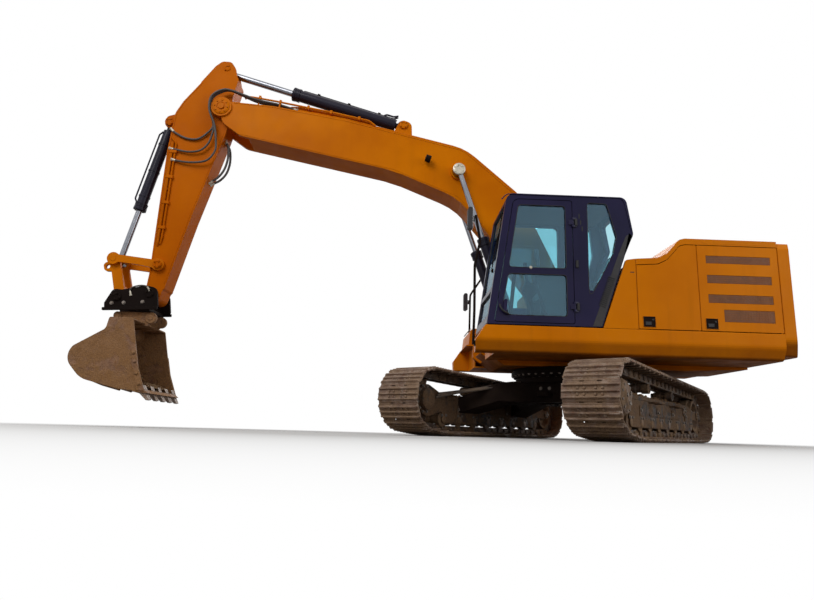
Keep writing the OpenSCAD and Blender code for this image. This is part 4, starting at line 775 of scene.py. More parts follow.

# Painted shade: faces that look down are darkened in patches, standing in for the shade under the machine.
painted_shade_group, given = effect("Painted shade below", {"Amount": 0.7, "Grain": 2.0})
looks_down = mapped(painted_shade_group, z_of(painted_shade_group, true_normal(painted_shade_group)), -0.12, -0.8)
cloud = noise(painted_shade_group, given["Grain"], Detail=7.0, Roughness=0.65)
patchy = mapped(painted_shade_group, cloud, 0.3, 0.6, 0.55, 1.0)
node(painted_shade_group, "NodeGroupOutput", {"Mask": masked(painted_shade_group, looks_down, patchy, given["Amount"])})

mud_group, given = effect("Dried mud", {"Amount": 0.5, "Grain": 4.0, "Low": 0.0, "High": 1.2},
                          (("Mask", "number"), ("Height", "number")))
lower = mapped(mud_group, z_of(mud_group, where(mud_group)), given["High"], given["Low"], 0.35)
cloud = noise(mud_group, given["Grain"], Detail=9.0, Roughness=0.66, Distortion=0.4)
clod = cells(mud_group, 38.0)
edge_at = maths(mud_group, "SUBTRACT", 0.66, maths(mud_group, "MULTIPLY", given["Amount"], 0.24))
patchy = mapped(mud_group, cloud, edge_at, maths(mud_group, "ADD", edge_at, 0.09))
mask = maths(mud_group, "MULTIPLY", patchy, lower, True)
height = maths(mud_group, "ADD", cloud, maths(mud_group, "MULTIPLY", clod, 0.35))
node(mud_group, "NodeGroupOutput", {"Mask": mask, "Height": maths(mud_group, "MULTIPLY", height, mask)})
print("groups:", ", ".join(g.name for g in bpy.data.node_groups if g.type == "SHADER"))

# %% [markdown]
# ## Painted finishes
# The machine is sprayed in one warm orange-yellow. The cab's frame is a dark blue black, and the carbody
# and the coupler are black. Paint on such a machine has a faint orange-peel skin, shifts a little in tone
# from panel to panel, is rubbed through to dark primer at its edges, and carries dust above. Faces that
# look down are darkened with painted shade.


# %% Helpers for finishes
def principled(name, links=None):
    """A material with one Principled node: the material, its tree and the node."""
    made, tree = empty_material(name)
    skin = node(tree, "ShaderNodeBsdfPrincipled", links)
    node(tree, "ShaderNodeOutputMaterial", {"Surface": skin.outputs[0]})
    return made, tree, skin


def use(tree, group, **values):
    return node(tree, "ShaderNodeGroup", values, node_tree=group).outputs


def blend(tree, mask, first, second):
    """Mixes two colours: each is a socket or a colour."""
    links = {i: (*v, 1) if isinstance(v, tuple) else v for i, v in ((0, mask), (6, first), (7, second))}
    return node(tree, "ShaderNodeMix", links, data_type="RGBA").outputs[2]


def speckle(tree, scale, low, high, detail=4.0, limits=(0.35, 0.65)):
    """A number that wanders between low and high over the surface."""
    return mapped(tree, noise(tree, scale, Detail=detail), *limits, low, high)


def add_up(tree, *sockets):
    total = sockets[0]
    for socket in sockets[1:]:
        total = maths(tree, "ADD", total, socket)
    return total


def darker(colour, share):
    return tuple(c * share for c in colour)


def cover(tree, skin, colour, dull, height, strength, depth, normal=None):
    """Links colour, roughness and a bump to the Principled node."""
    links = {"Strength": strength, "Distance": depth, "Height": height}
    if normal:
        links["Normal"] = normal
    bump = out(tree, "ShaderNodeBump", links)
    for label, socket in (("Base Color", colour), ("Roughness", dull), ("Normal", bump)):
        tree.links.new(socket, skin.inputs[label])


print("finishes are built on the Principled node")


# %% Paint
# The second of these colours is painted shade for faces that look down; dust and primer are the paint's own.
DUST, PAINTED_SHADE_COLOUR, PRIMER = (0.36, 0.25, 0.155), (0.035, 0.018, 0.010), (0.16, 0.075, 0.035)


def painted(name, colour, shade, under, rough=0.36, wear=0.6, dust=0.2, painted_shade=0.9, dust_top=2.2, coat=0.12,
            streaks=0.3, shine=0.10):
    made, tree, skin = principled(name, {"Specular IOR Level": shine, "Coat Roughness": 0.12})
    # This first mask lays painted shade on faces that look down; it also makes them rougher and takes off their coat.
    below = use(tree, painted_shade_group, Amount=painted_shade)["Mask"]
    rubbed = use(tree, edge_group, Amount=wear, Radius=0.005)
    settled = use(tree, dust_group, Amount=dust, High=dust_top, Low=0.2)["Mask"]
    colours = blend(tree, speckle(tree, 1.3, 0.0, 1.0), colour, shade)
    for mask, tint in ((use(tree, streak_group, Amount=streaks)["Mask"], darker(shade, 0.55)), (below, PAINTED_SHADE_COLOUR),
                       (rubbed["Mask"], under), (settled, DUST)):
        colours = blend(tree, mask, colours, tint)
    dull = add_up(tree, speckle(tree, 5.0, rough - 0.06, rough + 0.08), settled,
                  maths(tree, "MULTIPLY", below, 0.4))
    clean = maths(tree, "SUBTRACT", 1.0, add_up(tree, settled, below), True)
    tree.links.new(maths(tree, "MULTIPLY", clean, coat), skin.inputs["Coat Weight"])
    cover(tree, skin, colours, dull, speckle(tree, 420.0, 0.0, 1.0, 2.0), 0.06, 0.002, rubbed["Normal"])
    return made


# Each paint has its own amount of painted shade on faces that look down; the boom and the stick have none.
orange = painted("orange_paint", (0.74, 0.215, 0.0), (0.65, 0.175, 0.0), PRIMER, dust=0.05, coat=0.0,
                 painted_shade=0.7, shine=0.05)
deep_orange = painted("boom_paint", (0.72, 0.200, 0.0), (0.60, 0.150, 0.0), PRIMER, dust=0.04, coat=0.0,
                      painted_shade=0.0, streaks=0.25, shine=0.04)
stick_paint = painted("stick_paint", (0.60, 0.142, 0.0), (0.52, 0.112, 0.0), PRIMER, dust=0.02, coat=0.0,
                      painted_shade=0.0, streaks=0.25, shine=0.02)
cab_paint = painted("cab_paint", (0.013, 0.010, 0.052), (0.008, 0.007, 0.036), (0.05, 0.045, 0.08),
                    rough=0.34, wear=0.3, dust=0.03, painted_shade=0.1, streaks=0.1)
black_paint = painted("matt_black", (0.016, 0.010, 0.009), (0.010, 0.007, 0.006), (0.08, 0.058, 0.045),
                      rough=0.6, wear=0.5, dust=0.05, painted_shade=0.15, dust_top=1.2, coat=0.0, shine=0.03)
barrel_paint = painted("cylinder_paint", (0.020, 0.018, 0.036), (0.013, 0.012, 0.024), (0.12, 0.10, 0.09),
                       rough=0.33, wear=0.5, dust=0.12, painted_shade=0.2)
print("six paints")

# %% [markdown]
# ## Steel, soil, glass and soft materials
# Track shoes and the bucket lose their paint within days: they show brown steel, rust in the hollows and
# bright metal where the ground rubs. Cylinder rods are hard chrome. The cab has tinted safety glass,
# which lets light into the cab, so the material is clear to shadow rays.

# %% Steel and soil
RUST, SOIL = (0.20, 0.075, 0.028), (0.27, 0.165, 0.085)


def steel(name, dark, light, polish, metal, mud_amount, mud_colour, rough=0.55, high=1.2):
    made, tree, skin = principled(name)
    rubbed = use(tree, edge_group, Amount=1.0, Radius=0.007, Grain=9.0)
    mud = use(tree, mud_group, Amount=mud_amount, High=high)
    soil = blend(tree, speckle(tree, 60.0, 0.0, 1.0, 6.0), mud_colour, darker(mud_colour, 0.6))
    colours = blend(tree, speckle(tree, 9.0, 0.0, 1.0, 8.0), dark, light)
    for mask, tint in ((speckle(tree, 26.0, 0.0, 0.8, 8.0, (0.55, 0.75)), RUST), (rubbed["Mask"], polish),
                       (mud["Mask"], soil)):
        colours = blend(tree, mask, colours, tint)
    bare = maths(tree, "SUBTRACT", 1.0, mud["Mask"], True)
    bright = maths(tree, "ADD", maths(tree, "MULTIPLY", rubbed["Mask"], 0.5), metal)
    tree.links.new(maths(tree, "MULTIPLY", bright, bare, True), skin.inputs["Metallic"])
    dull = add_up(tree, maths(tree, "MULTIPLY", mud["Mask"], 0.35),
                  speckle(tree, 14.0, rough - 0.1, rough + 0.12, 6.0))
    pitted = add_up(tree, mud["Height"], speckle(tree, 120.0, 0.0, 0.25, 6.0))
    cover(tree, skin, colours, dull, pitted, 0.7, 0.012, rubbed["Normal"])
    return made


shoe_steel = steel("shoe_steel", (0.17, 0.105, 0.073), (0.29, 0.19, 0.135), (0.62, 0.53, 0.45), 0.1, 0.85,
                   (0.36, 0.235, 0.145))
frame_steel = steel("frame_steel", (0.016, 0.012, 0.010), (0.030, 0.021, 0.016), (0.10, 0.08, 0.06), 0.0,
                    1.05, (0.20, 0.115, 0.058), rough=0.7)
chain_steel = steel("chain_steel", (0.07, 0.045, 0.032), (0.12, 0.08, 0.055), (0.34, 0.30, 0.27), 0.35, 0.8,
                    SOIL)
wheel_steel = steel("wheel_steel", (0.10, 0.062, 0.043), (0.18, 0.12, 0.085), (0.36, 0.31, 0.27), 0.2, 1.0,
                    SOIL)
bucket_steel = steel("bucket_steel", (0.15, 0.070, 0.034), (0.29, 0.145, 0.070), (0.50, 0.40, 0.30), 0.1, 1.0,
                     (0.34, 0.170, 0.062), high=3.0)
tooth_steel = steel("tooth_steel", (0.12, 0.085, 0.065), (0.26, 0.20, 0.16), (0.46, 0.42, 0.38), 0.55, 0.5,
                    SOIL, rough=0.42, high=3.0)


def ground(name, pale, deep):
    made, tree, skin = principled(name, {"Specular IOR Level": 0.2})
    colours = blend(tree, speckle(tree, 7.0, 0.0, 1.0, 8.0), pale, deep)
    colours = blend(tree, speckle(tree, 90.0, 0.0, 0.7, 4.0, (0.5, 0.7)), colours, darker(deep, 0.45))
    cover(tree, skin, colours, speckle(tree, 30.0, 0.85, 1.0), speckle(tree, 70.0, 0.0, 1.0, 9.0), 0.8, 0.01)
    return made


soil = ground("dug_soil", (0.34, 0.215, 0.115), (0.20, 0.115, 0.058))
print("six steels and the soil")


# %% Bright metal
def metal(name, colour, rough, grain, streak=0.0, dust=0.1):
    made, tree, skin = principled(name, {"Metallic": 1.0})
    settled = use(tree, dust_group, Amount=dust, Grain=9.0)["Mask"]
    colours = blend(tree, speckle(tree, grain, 0.0, 1.0), colour, darker(colour, 0.8))
    cover(tree, skin, blend(tree, settled, colours, (0.30, 0.23, 0.17)),
          add_up(tree, speckle(tree, grain * 6, rough, rough + 0.12 + streak), settled),
          speckle(tree, grain * 20, 0.0, 1.0), 0.05, 0.001)
    return made


chrome = metal("rod_chrome", (0.26, 0.27, 0.30), 0.16, 3.0)
zinc = metal("zinc_fitting", (0.50, 0.46, 0.38), 0.34, 20.0, 0.1, 0.3)
bolt_steel = metal("bolt_steel", (0.24, 0.21, 0.19), 0.45, 26.0, 0.15, 0.5)
mirror_face = metal("mirror_face", (0.80, 0.82, 0.85), 0.03, 2.0, 0.0, 0.05)
reflector = metal("lamp_reflector", (0.85, 0.86, 0.88), 0.08, 10.0, 0.0, 0.0)
print("five bright metals")


# %% Glass
def pane(name, tint):
    made, tree = empty_material(name)
    settled = use(tree, dust_group, Amount=0.10, Grain=6.0)["Mask"]
    glass = out(tree, "ShaderNodeBsdfPrincipled", {
        "Transmission Weight": 1.0, "Metallic": 0.0, "IOR": 1.03,
        "Base Color": blend(tree, settled, tint, (0.25, 0.21, 0.17)),
        "Roughness": speckle(tree, 2.0, 0.03, 0.06)})
    clear = out(tree, "ShaderNodeBsdfTransparent", {"Color": (*[c ** 0.5 for c in tint], 1)})
    sheen = out(tree, "ShaderNodeBsdfGlossy", {"Color": (0.55, 0.78, 1, 1), "Roughness": 0.02})
    facing = maths(tree, "MINIMUM", out(tree, "ShaderNodeFresnel", {"IOR": 1.75}), 0.085)
    shadow = node(tree, "ShaderNodeLightPath").outputs["Is Shadow Ray"]
    shown = mixed_shaders(tree, shadow, mixed_shaders(tree, facing, glass, sheen), clear)
    node(tree, "ShaderNodeOutputMaterial", {"Surface": shown})
    return made


cab_pane = pane("tinted_glass", (0.42, 0.74, 0.80))
lamp_pane = pane("lamp_glass", (0.92, 0.94, 0.95))
print("two kinds of glass")


# %% Plastic, rubber and cloth
def moulded(name, colour, rough, grain, depth, dust=0.2):
    made, tree, skin = principled(name)
    settled = use(tree, dust_group, Amount=dust, Grain=5.0)["Mask"]
    colours = blend(tree, speckle(tree, 4.0, 0.0, 1.0), colour, darker(colour, 0.7))
    cover(tree, skin, blend(tree, settled, colours, DUST),
          add_up(tree, speckle(tree, 12.0, rough, rough + 0.1), settled), cells(tree, grain), 0.25, depth)
    return made


def woven(name, warp, weft, pitch):
    made, tree, skin = principled(name, {"Sheen Weight": 0.35, "Sheen Roughness": 0.4})
    x, y, z = (node(tree, "ShaderNodeTexWave", {"Vector": where(tree), "Scale": pitch, "Distortion": 0.6},
                    bands_direction=way).outputs["Fac"] for way in "XYZ")
    cloth = maths(tree, "MAXIMUM", maths(tree, "MULTIPLY", x, y), z)
    cover(tree, skin, blend(tree, cloth, warp, weft), speckle(tree, 8.0, 0.75, 0.95), cloth, 0.5, 0.002)
    return made


rubber = moulded("black_rubber", (0.006, 0.006, 0.007), 0.65, 260.0, 0.0008, 0.04)
hose_rubber = moulded("hose_rubber", (0.060, 0.052, 0.050), 0.5, 200.0, 0.0008, 0.3)
plastic = moulded("grained_plastic", (0.012, 0.011, 0.014), 0.6, 320.0, 0.0006, 0.05)
pale_plastic = moulded("pale_plastic", (0.16, 0.17, 0.19), 0.5, 320.0, 0.0006)
screen_face = moulded("screen_face", (0.015, 0.02, 0.025), 0.12, 10.0, 0.0001, 0.05)
louvre_mesh = moulded("louvre_mesh", (0.22, 0.066, 0.010), 0.5, 200.0, 0.003, 0.3)
seat_cloth = woven("seat_cloth", (0.020, 0.022, 0.028), (0.060, 0.064, 0.076), 260.0)
print("plastic, rubber and cloth")

# %% [markdown]
# ## Dressing the solids
# The solids whose shape is right stay as they are and only take a finish. A table says which.

# %% Finishes of the solids
FINISHES = {
    orange: ["platform", "counterweight", "engine_deck", "corner_panel", "fuel_tank", "tool_box",
             "left_pump_door", "left_cooler_door", "right_pump_door", "right_engine_door", "hood"],
    deep_orange: ["boom", "boom_pipes", "side_links", "power_link"],
    stick_paint: ["stick", "stick_pipes"],
    cab_paint: ["cab_shell", "cab_door"],
    frame_steel: ["track_frames"],
    black_paint: ["carbody", "slew_ring", "bulkheads", "engine_block", "exhaust", "handrails", "cab_floor",
                  "travel_levers", "coupler", "boom_lamp"],
    barrel_paint: ["boom_barrels", "stick_barrel", "bucket_barrel"],
    chrome: ["boom_rods", "stick_rod", "bucket_rod"],
    shoe_steel: ["track_left", "track_right"],
    wheel_steel: ["sprockets", "final_drives", "idlers", "lower_rollers", "carrier_rollers"],
    bucket_steel: ["bucket"],
    tooth_steel: ["bucket_teeth"],
    cab_pane: ["cab_glass", "cab_door_glass"],
    plastic: ["seat_base", "consoles", "mirrors"],
    seat_cloth: ["seat_pads"]}
for finish, names in FINISHES.items():
    for name in names:
        nodes[name].data.materials.clear()
        nodes[name].data.materials.append(finish)
print(sum(len(names) for names in FINISHES.values()), "solids have a finish")

# %% [markdown]
# ## Tracks
# A track is a chain of forged links with a pressed steel shoe bolted over each pair. It runs round the
# sprocket, under the rollers, and round the idler. The chain follows a rule, the shortest line round four
# circles, so the place of each shoe is worked out once and a tree puts a modelled shoe on each place.

# %% The line of the chain's pins
SHOES, SPROCKET_TEETH, PITCH_GUESS = 49, 21, 188
SPROCKET_R = PITCH_GUESS / (2 * sin(2 * pi / SPROCKET_TEETH))
SPROCKET_X, IDLER_X, IDLER_R, ROLLER_R = -1830, 1830, 288, 126
TRACK_Z = 60 + 26
SPROCKET_Z, IDLER_Z, ROLLER_Z = TRACK_Z + SPROCKET_R + 45, TRACK_Z + IDLER_R + 12, TRACK_Z + 48 + 78
ROLLER_FIRST, ROLLER_LAST = SPROCKET_X + 440, IDLER_X - 460
WHEELS = [(SPROCKET_X, SPROCKET_Z, SPROCKET_R), (ROLLER_FIRST, ROLLER_Z, ROLLER_R),
          (ROLLER_LAST, ROLLER_Z, ROLLER_R), (IDLER_X, IDLER_Z, IDLER_R)]


def chain_parts():
    """Arcs and straight runs of the pin line, in order: (length, function of the distance)."""
    normals, runs = [], []
    for (x, z, r), (x2, z2, r2) in zip(WHEELS, WHEELS[1:] + WHEELS[:1]):
        gap = hypot(x2 - x, z2 - z)
        normals.append(atan2(z2 - z, x2 - x) - acos((r - r2) / gap))
        runs.append(sqrt(gap * gap - (r - r2) ** 2))
    parts = []
    for i, (x, z, r) in enumerate(WHEELS):
        start, end = normals[i - 1], normals[i]
        wrap = (end - start) % (2 * pi)
        parts.append((wrap * r, lambda s, x=x, z=z, r=r, a=start: (
            x + r * cos(a + s / r), z + r * sin(a + s / r))))
        parts.append((runs[i], lambda s, x=x, z=z, r=r, a=end: (
            x + r * cos(a) - s * sin(a), z + r * sin(a) + s * cos(a))))
    return parts


PARTS = chain_parts()
CHAIN_LENGTH = sum(length for length, _ in PARTS)
PITCH = CHAIN_LENGTH / SHOES


def pin_at(distance):
    for length, place in PARTS:
        if distance <= length:
            return Vector(place(distance))
        distance -= length


pins = [pin_at(i * PITCH) for i in range(SHOES)]
print("chain", round(CHAIN_LENGTH / 1000, 3), "m, pitch", round(PITCH, 1), "mm")

# %% One shoe, and one pair of links
shoe, link, half = Draft(SHRINK), Draft(SHRINK), PITCH / 2
shoe.plate([(-half + 2, 60), (-half + 2, 50), (-half + 12, 44), (half - 10, 44), (half + 8, 38),
            (half + 12, 46), (half - 6, 54), (half - 8, 60)], -286, 286)
for low, high in ((-292, -118), (-66, 66), (118, 292)):
    shoe.plate([(half - 4, 40), (half + 30, 20), (half + 40, 22), (half + 34, 32), (half + 6, 46)], low, high)
for side in SIDES:
    shoe.plate([(-half + 14, 60), (-half + 14, 46), (half - 24, 46), (half - 24, 60)], side * 285, side * 300)
for x in (-0.33 * PITCH, 0.02 * PITCH, 0.36 * PITCH):
    for y0, y1, top in ((-296, -276, 71.7), (-277, 277, 86), (276, 296, 71.7)):
        shoe.plate([(x - 15, 58), (x + 15, 58), (x + 6, top), (x - 6, top)], y0, y1)
for x in (-0.155 * PITCH, 0.19 * PITCH):
    for y in (-128, -58, 58, 128):
        shoe.turned([(18, 0), (18, 4), (15, 4), (14, 15), (11, 17)], (x, y, 59), sides=6)
LINK_SIDE = [(-half - 24, -22), (-half - 6, -46), (half - 34, -48), (half + 18, -44), (half + 26, -10),
             (half + 20, 22), (half - 20, 40), (-half + 26, 42), (-half - 18, 26)]
for side in SIDES:
    y = side * 92.5
    link.plate([(x * 0.985, z) for x, z in LINK_SIDE], y - 15, y + 15)
    link.turned([(34, 0), (34, 16), (28, 20)], (-half, y + side * 12, 0), (0, side, 0), 12)
for radius, reach, sides in ((33, 88, 12), (20, 130, 10)):
    link.turned([(radius, 0), (radius, reach * 2)], (-half, -reach, 0), (0, 1, 0), sides)
shoe_object = linked("shoe_form", closed_mesh("shoe_form", shoe.points, shoe.faces))
link_object = linked("link_form", closed_mesh("link_form", link.points, link.faces))
print("shoe", len(shoe.faces), "faces, link pair", len(link.faces), "faces")

# %% Shoes and links all round, for both tracks
turned = UNDER.to_3x3()
for label, side in (("left", 1), ("right", -1)):
    spots, along, outward = [], [], []
    for here, after in zip(pins, pins[1:] + pins[:1]):
        middle, step = (here + after) / 2, (after - here).normalized()
        spots.append(UNDER @ Vector((middle.x, side * TRACK_GAUGE / 2, middle.y)))
        along.append((turned @ Vector((step.x, 0, step.y))).normalized())
        outward.append((turned @ Vector((step.y, 0, -step.x))).normalized())
    made = grown(f"track_shoes_{label}", "undercarriage", marks("spots", spots, along=along, out=outward),
                 chain_tree, smooth=25, link=shoe_object, finish=shoe_steel)
    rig.replaces(made, f"track_{label}")
    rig.slot(made, "worn_steel")
    made = grown(f"track_chain_{label}", "undercarriage", marks("spots", spots, along=along, out=outward),
                 chain_tree, smooth=40, link=link_object, finish=chain_steel)
    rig.slot(made, "worn_steel")
for form in (shoe_object, link_object):
    bpy.data.objects.remove(form)
print("two tracks of", SHOES, "shoes")

# %% [markdown]
# ## Track frames and drives
# Bolts ring the final drive, the sprocket and the idler's caps; each is on a circle that the real part is
# machined to. Guards, covers, greasers and hoses are plates and tubes drawn on the track's own frame.

# %% Bolts and covers of the drives
ADJUSTER_X, ADJUSTER_Z = 980, 425
spots, plugs, caps, grease = [], [], Draft(UNDER), Draft(UNDER)
for side in SIDES:
    y, way = side * TRACK_GAUGE / 2, (0, side, 0)
    for reach, radius, count in ((245, 138, 10), (70, 219, 20)):
        spots += ring((SPROCKET_X, y + side * reach, SPROCKET_Z), way, radius, count)
    spots += ring((SPROCKET_X, y - side * 152, SPROCKET_Z), (0, -side, 0), 160, 12)
    for a in (40, 160, 280):
        place = (SPROCKET_X + 62 * cos(radians(a)), y + side * 268, SPROCKET_Z + 62 * sin(radians(a)))
        plugs.append((place, way))
    caps.turned([(96, 0), (96, 6), (88, 9), (40, 9), (36, 5), (0, 5)],
                (SPROCKET_X, y + side * 264, SPROCKET_Z), way, 40)
    for face in SIDES:
        caps.turned([(62, 0), (62, 10), (52, 16), (20, 16), (18, 10), (0, 10)],
                    (IDLER_X, y + face * 140, IDLER_Z), (0, face, 0), 32)
        spots += ring((IDLER_X, y + face * 156, IDLER_Z), (0, face, 0), 36, 4, 0.78)
        # Slider guides and adjuster of the idler
        caps.block((ROLLER_LAST + 100, y + face * 116 - 12, IDLER_Z + 34),
                   (IDLER_X - 90, y + face * 116 + 12, IDLER_Z + 58))
        for i in range(8):
            x = ROLLER_FIRST + (ROLLER_LAST - ROLLER_FIRST) * i / 7
            caps.turned([(46, 0), (46, 5), (38, 9), (0, 9)], (x, y + face * 148, ROLLER_Z - 1),
                        (0, face, 0), 20)
            spots += [((x + dx, y + face * 151, ROLLER_Z + 52), (0, face, 0)) for dx in (-46, 46)]
    front = (ADJUSTER_X, y + side * 164, ADJUSTER_Z)
    caps.turned([(70, 0), (70, 14), (60, 20), (0, 20)], (ADJUSTER_X, y + side * 148, ADJUSTER_Z), way, 28)
    spots += ring(front, way, 52, 6)
    grease.turned([(14, 0), (14, 10), (8, 12), (8, 26), (5, 32)], front, way, 6)
caps.make("drive_caps", "undercarriage", wheel_steel, edge=2)
bolts("drive_bolts", "undercarriage", UNDER, spots, bolt_steel, 26, 14)
bolts("drive_plugs", "undercarriage", UNDER, plugs, bolt_steel, 40, 16)
grease.make("track_greasers", "undercarriage", zinc, edge=0)
print(len(spots) + len(plugs), "bolts on the drives and frames")

# %% Frame trim: weld lines, guards, steps and motor covers
trim, seams, spots = Draft(UNDER), Draft(UNDER), []
for side in SIDES:
    y = side * TRACK_GAUGE / 2
    for face in SIDES:
        seams.tube([(ROLLER_FIRST - 40, y + face * 150, 470), (ROLLER_LAST - 60, y + face * 150, 470)], 7, 6)
        trim.block((-700, y + face * 146, 300), (700, y + face * 158, 330))
        for x in (-1050, -350, 350, 1050):
            trim.plate([(x - 40, 292), (x + 40, 292), (x + 24, 402), (x - 24, 402)],
                       y + face * 148, y + face * 160)
            spots.append(((x, y + face * 160, 350), (0, face, 0)))
    # Steps on the outer face, for climbing up
    for x in (-560, 380):
        step = [(x - 130, 148), (x - 130, 262), (x + 130, 262), (x + 130, 148)]
        trim.tube(bent_path([(a, y + side * b, 452) for a, b in step], 40), 13, 8)
    # Travel motor cover behind the frame's inner plate
    trim.turned([(135, 0), (135, 60), (110, 74), (70, 80), (0, 80)],
                (SPROCKET_X, y - side * 152, SPROCKET_Z), (0, -side, 0), 32)
    trim.plate([(SPROCKET_X + 90, SPROCKET_Z - 60), (SPROCKET_X + 330, 420), (SPROCKET_X + 330, 500),
                (SPROCKET_X + 90, SPROCKET_Z + 60)], y - side * 168, y - side * 152)
trim.make("frame_trim", "undercarriage", frame_steel, edge=2)
seams.make("frame_seams", "undercarriage", frame_steel, edge=0)
print(len(spots), "guards with bolts on the frames")

# %% Travel hoses and the covers of the carbody
lines = Draft(UNDER)
for side in SIDES:
    for k in range(3):
        path = [(-300 + k * 34, side * 250, 742), (-560, side * (430 + k * 30), 738),
                (-900, side * (700 + k * 26), 630 + k * 8), (-1250, side * (900 + k * 16), 560 + k * 10),
                (SPROCKET_X + 190 + k * 26, side * (TRACK_GAUGE / 2 - 190), SPROCKET_Z + 30 + k * 26)]
        lines.tube(smooth_path(path, 8), 13, 8)
lines.make("travel_hoses", "undercarriage", hose_rubber, edge=0)
covers = Draft(UNDER)
covers.turned([(250, 0), (250, 8), (235, 12), (0, 12)], (0, 0, 472), (0, 0, -1), 40)
for end in SIDES:
    covers.block((end * 558, -210, 505), (end * 566, 210, 690))
    spots += [((end * 566, y, 650), (end, 0, 0)) for y in (-180, -60, 60, 180)]
covers.make("carbody_covers", "undercarriage", black_paint, edge=2)
spots += ring((0, 0, 460), (0, 0, -1), 210, 12) + ring((0, 0, 800), (0, 0, 1), 596, 36)
bolts("frame_bolts", "undercarriage", UNDER, spots, bolt_steel, 30, 16)
bolts("ring_bolts", "upper", UPPER, ring((0, 0, 842), (0, 0, -1), 672, 40), bolt_steel, 28, 14)
print("frames trimmed")

# %% [markdown]
# ## Mud and soil on the tracks
# Soil falls between the shoes and packs on the ledges of the track frames and under the carrier rollers.
# Lumps are spread over thin sheets that follow those ledges, with a fixed seed, so each run is alike.


# %% Soil on the frames
def soil_sheet(draft, x_ends, z_ends, y_ends, parts, height, seed):
    """Adds a gently heaped sheet of soil that runs from one end in x to the other."""
    (x0, x1), (z0, z1), (y0, y1) = x_ends, z_ends, y_ends
    points = []
    for i in range(parts + 1):
        for j in range(parts + 1):
            u, v = i / parts, j / parts
            swell = (sin(pi * u) * sin(pi * v)) ** 0.6
            rise = height * swell * (0.65 + 0.35 * sin(seed + 9 * u + 5 * sin(7 * v + seed)))
            points.append((x0 + (x1 - x0) * u, y0 + (y1 - y0) * v, z0 + (z1 - z0) * u + rise))
    n = parts + 1
    draft.add(points, [[i * n + j, (i + 1) * n + j, (i + 1) * n + j + 1, i * n + j + 1]
                       for i in range(parts) for j in range(parts)])


def make_soil(draft, body, lumps_name, heap_name, density, largest, seed):
    """The sheets of a draft as a heap, with lumps spread over them."""
    base = bpy.data.meshes.new("soil")
    base.from_pydata(draft.points, [], draft.faces)
    lumps(lumps_name, body, base, soil, density, largest, seed)
    subdivide(draft.make(heap_name, body, soil, edge=0, crease=80))


for label, side in (("left", 1), ("right", -1)):
    y = side * TRACK_GAUGE / 2
    ledge = Draft(UNDER)
    for x_ends, z_ends, seed in (((-1380, -600), (506, 508), 2), ((-440, 470), (508, 508), 5),
                                 ((640, 1250), (508, 500), 8)):
        soil_sheet(ledge, x_ends, z_ends, (y - 140, y + 140), 10, 34, seed)
    make_soil(ledge, "undercarriage", f"soil_lumps_{label}", f"soil_heap_{label}", 420, 34, 11 + side)
print("soil lies on the frames")

# %% [markdown]
# ## Pins, glands and pipes of the arm
# Each pivot has a cap with a flange and bolts, so that dirt stays out of its bushing. A cylinder ends in a
# gland with bolts and seal bands. These are turned parts, drawn on the frames of the boom, the stick, the
# coupler and each cylinder, so they sit on the solid that carries them.


# %% Caps over the pins
def carried(place, spots):
    """Spots of bolts, moved from a drawing to the machine."""
    turned = place.to_3x3()
    return [(place @ p, turned @ way) for p, way in spots]


PIN_CAPS = [
    # body, frame, place, half width where the cap sits, radius, bolts
    ("boom", BOOM, (5680, 0), 265, 122, 8), ("boom", BOOM, (3330, 1250), 113, 62, 4),
    ("upper", UPPER, (50, 1750), 292, 70, 6), ("stick", STICK, (-655, 160), 170, 50, 2),
    ("stick", STICK, (380, 705), 108, 62, 4), ("stick", STICK, (2480, 60), 245, 58, 4),
    ("bucket", COUPLER, (0, 0), 272, 60, 4), ("bucket", COUPLER, (430, -60), 284, 58, 4),
    ("boom_rods", UPPER, (1504.9, 3710.0), 383, 88, 6), ("boom_barrels", UPPER, (640, 1180), 383, 80, 4)]
CAP_LOOKS = {"bucket": black_paint, "boom_rods": zinc, "stick": stick_paint}
caps, spots = {}, {}
for body, place, (x, z), half, radius, count in PIN_CAPS:
    draft = caps.setdefault(body, Draft())
    for side in SIDES:
        draft.turned([(radius, 0), (radius, 7), (radius - 8, 12), (radius * 0.52, 12), (radius * 0.48, 6),
                      (0, 6)], (x, side * half, z), (0, side, 0), 36, place)
        heads = ring((x, side * (half + 11), z), (0, side, 0), radius * 0.76, count, 0.4)
        spots.setdefault(body, []).extend(carried(place, heads))
for body, draft in caps.items():
    look = CAP_LOOKS.get(body, deep_orange)
    draft.make(f"pin_caps_{body}", body, look, edge=1)
    bolts(f"pin_bolts_{body}", body, Matrix(), spots[body], look, 20, 10)
print(sum(len(s) for s in spots.values()), "bolts on", len(PIN_CAPS) * 2, "pin caps")

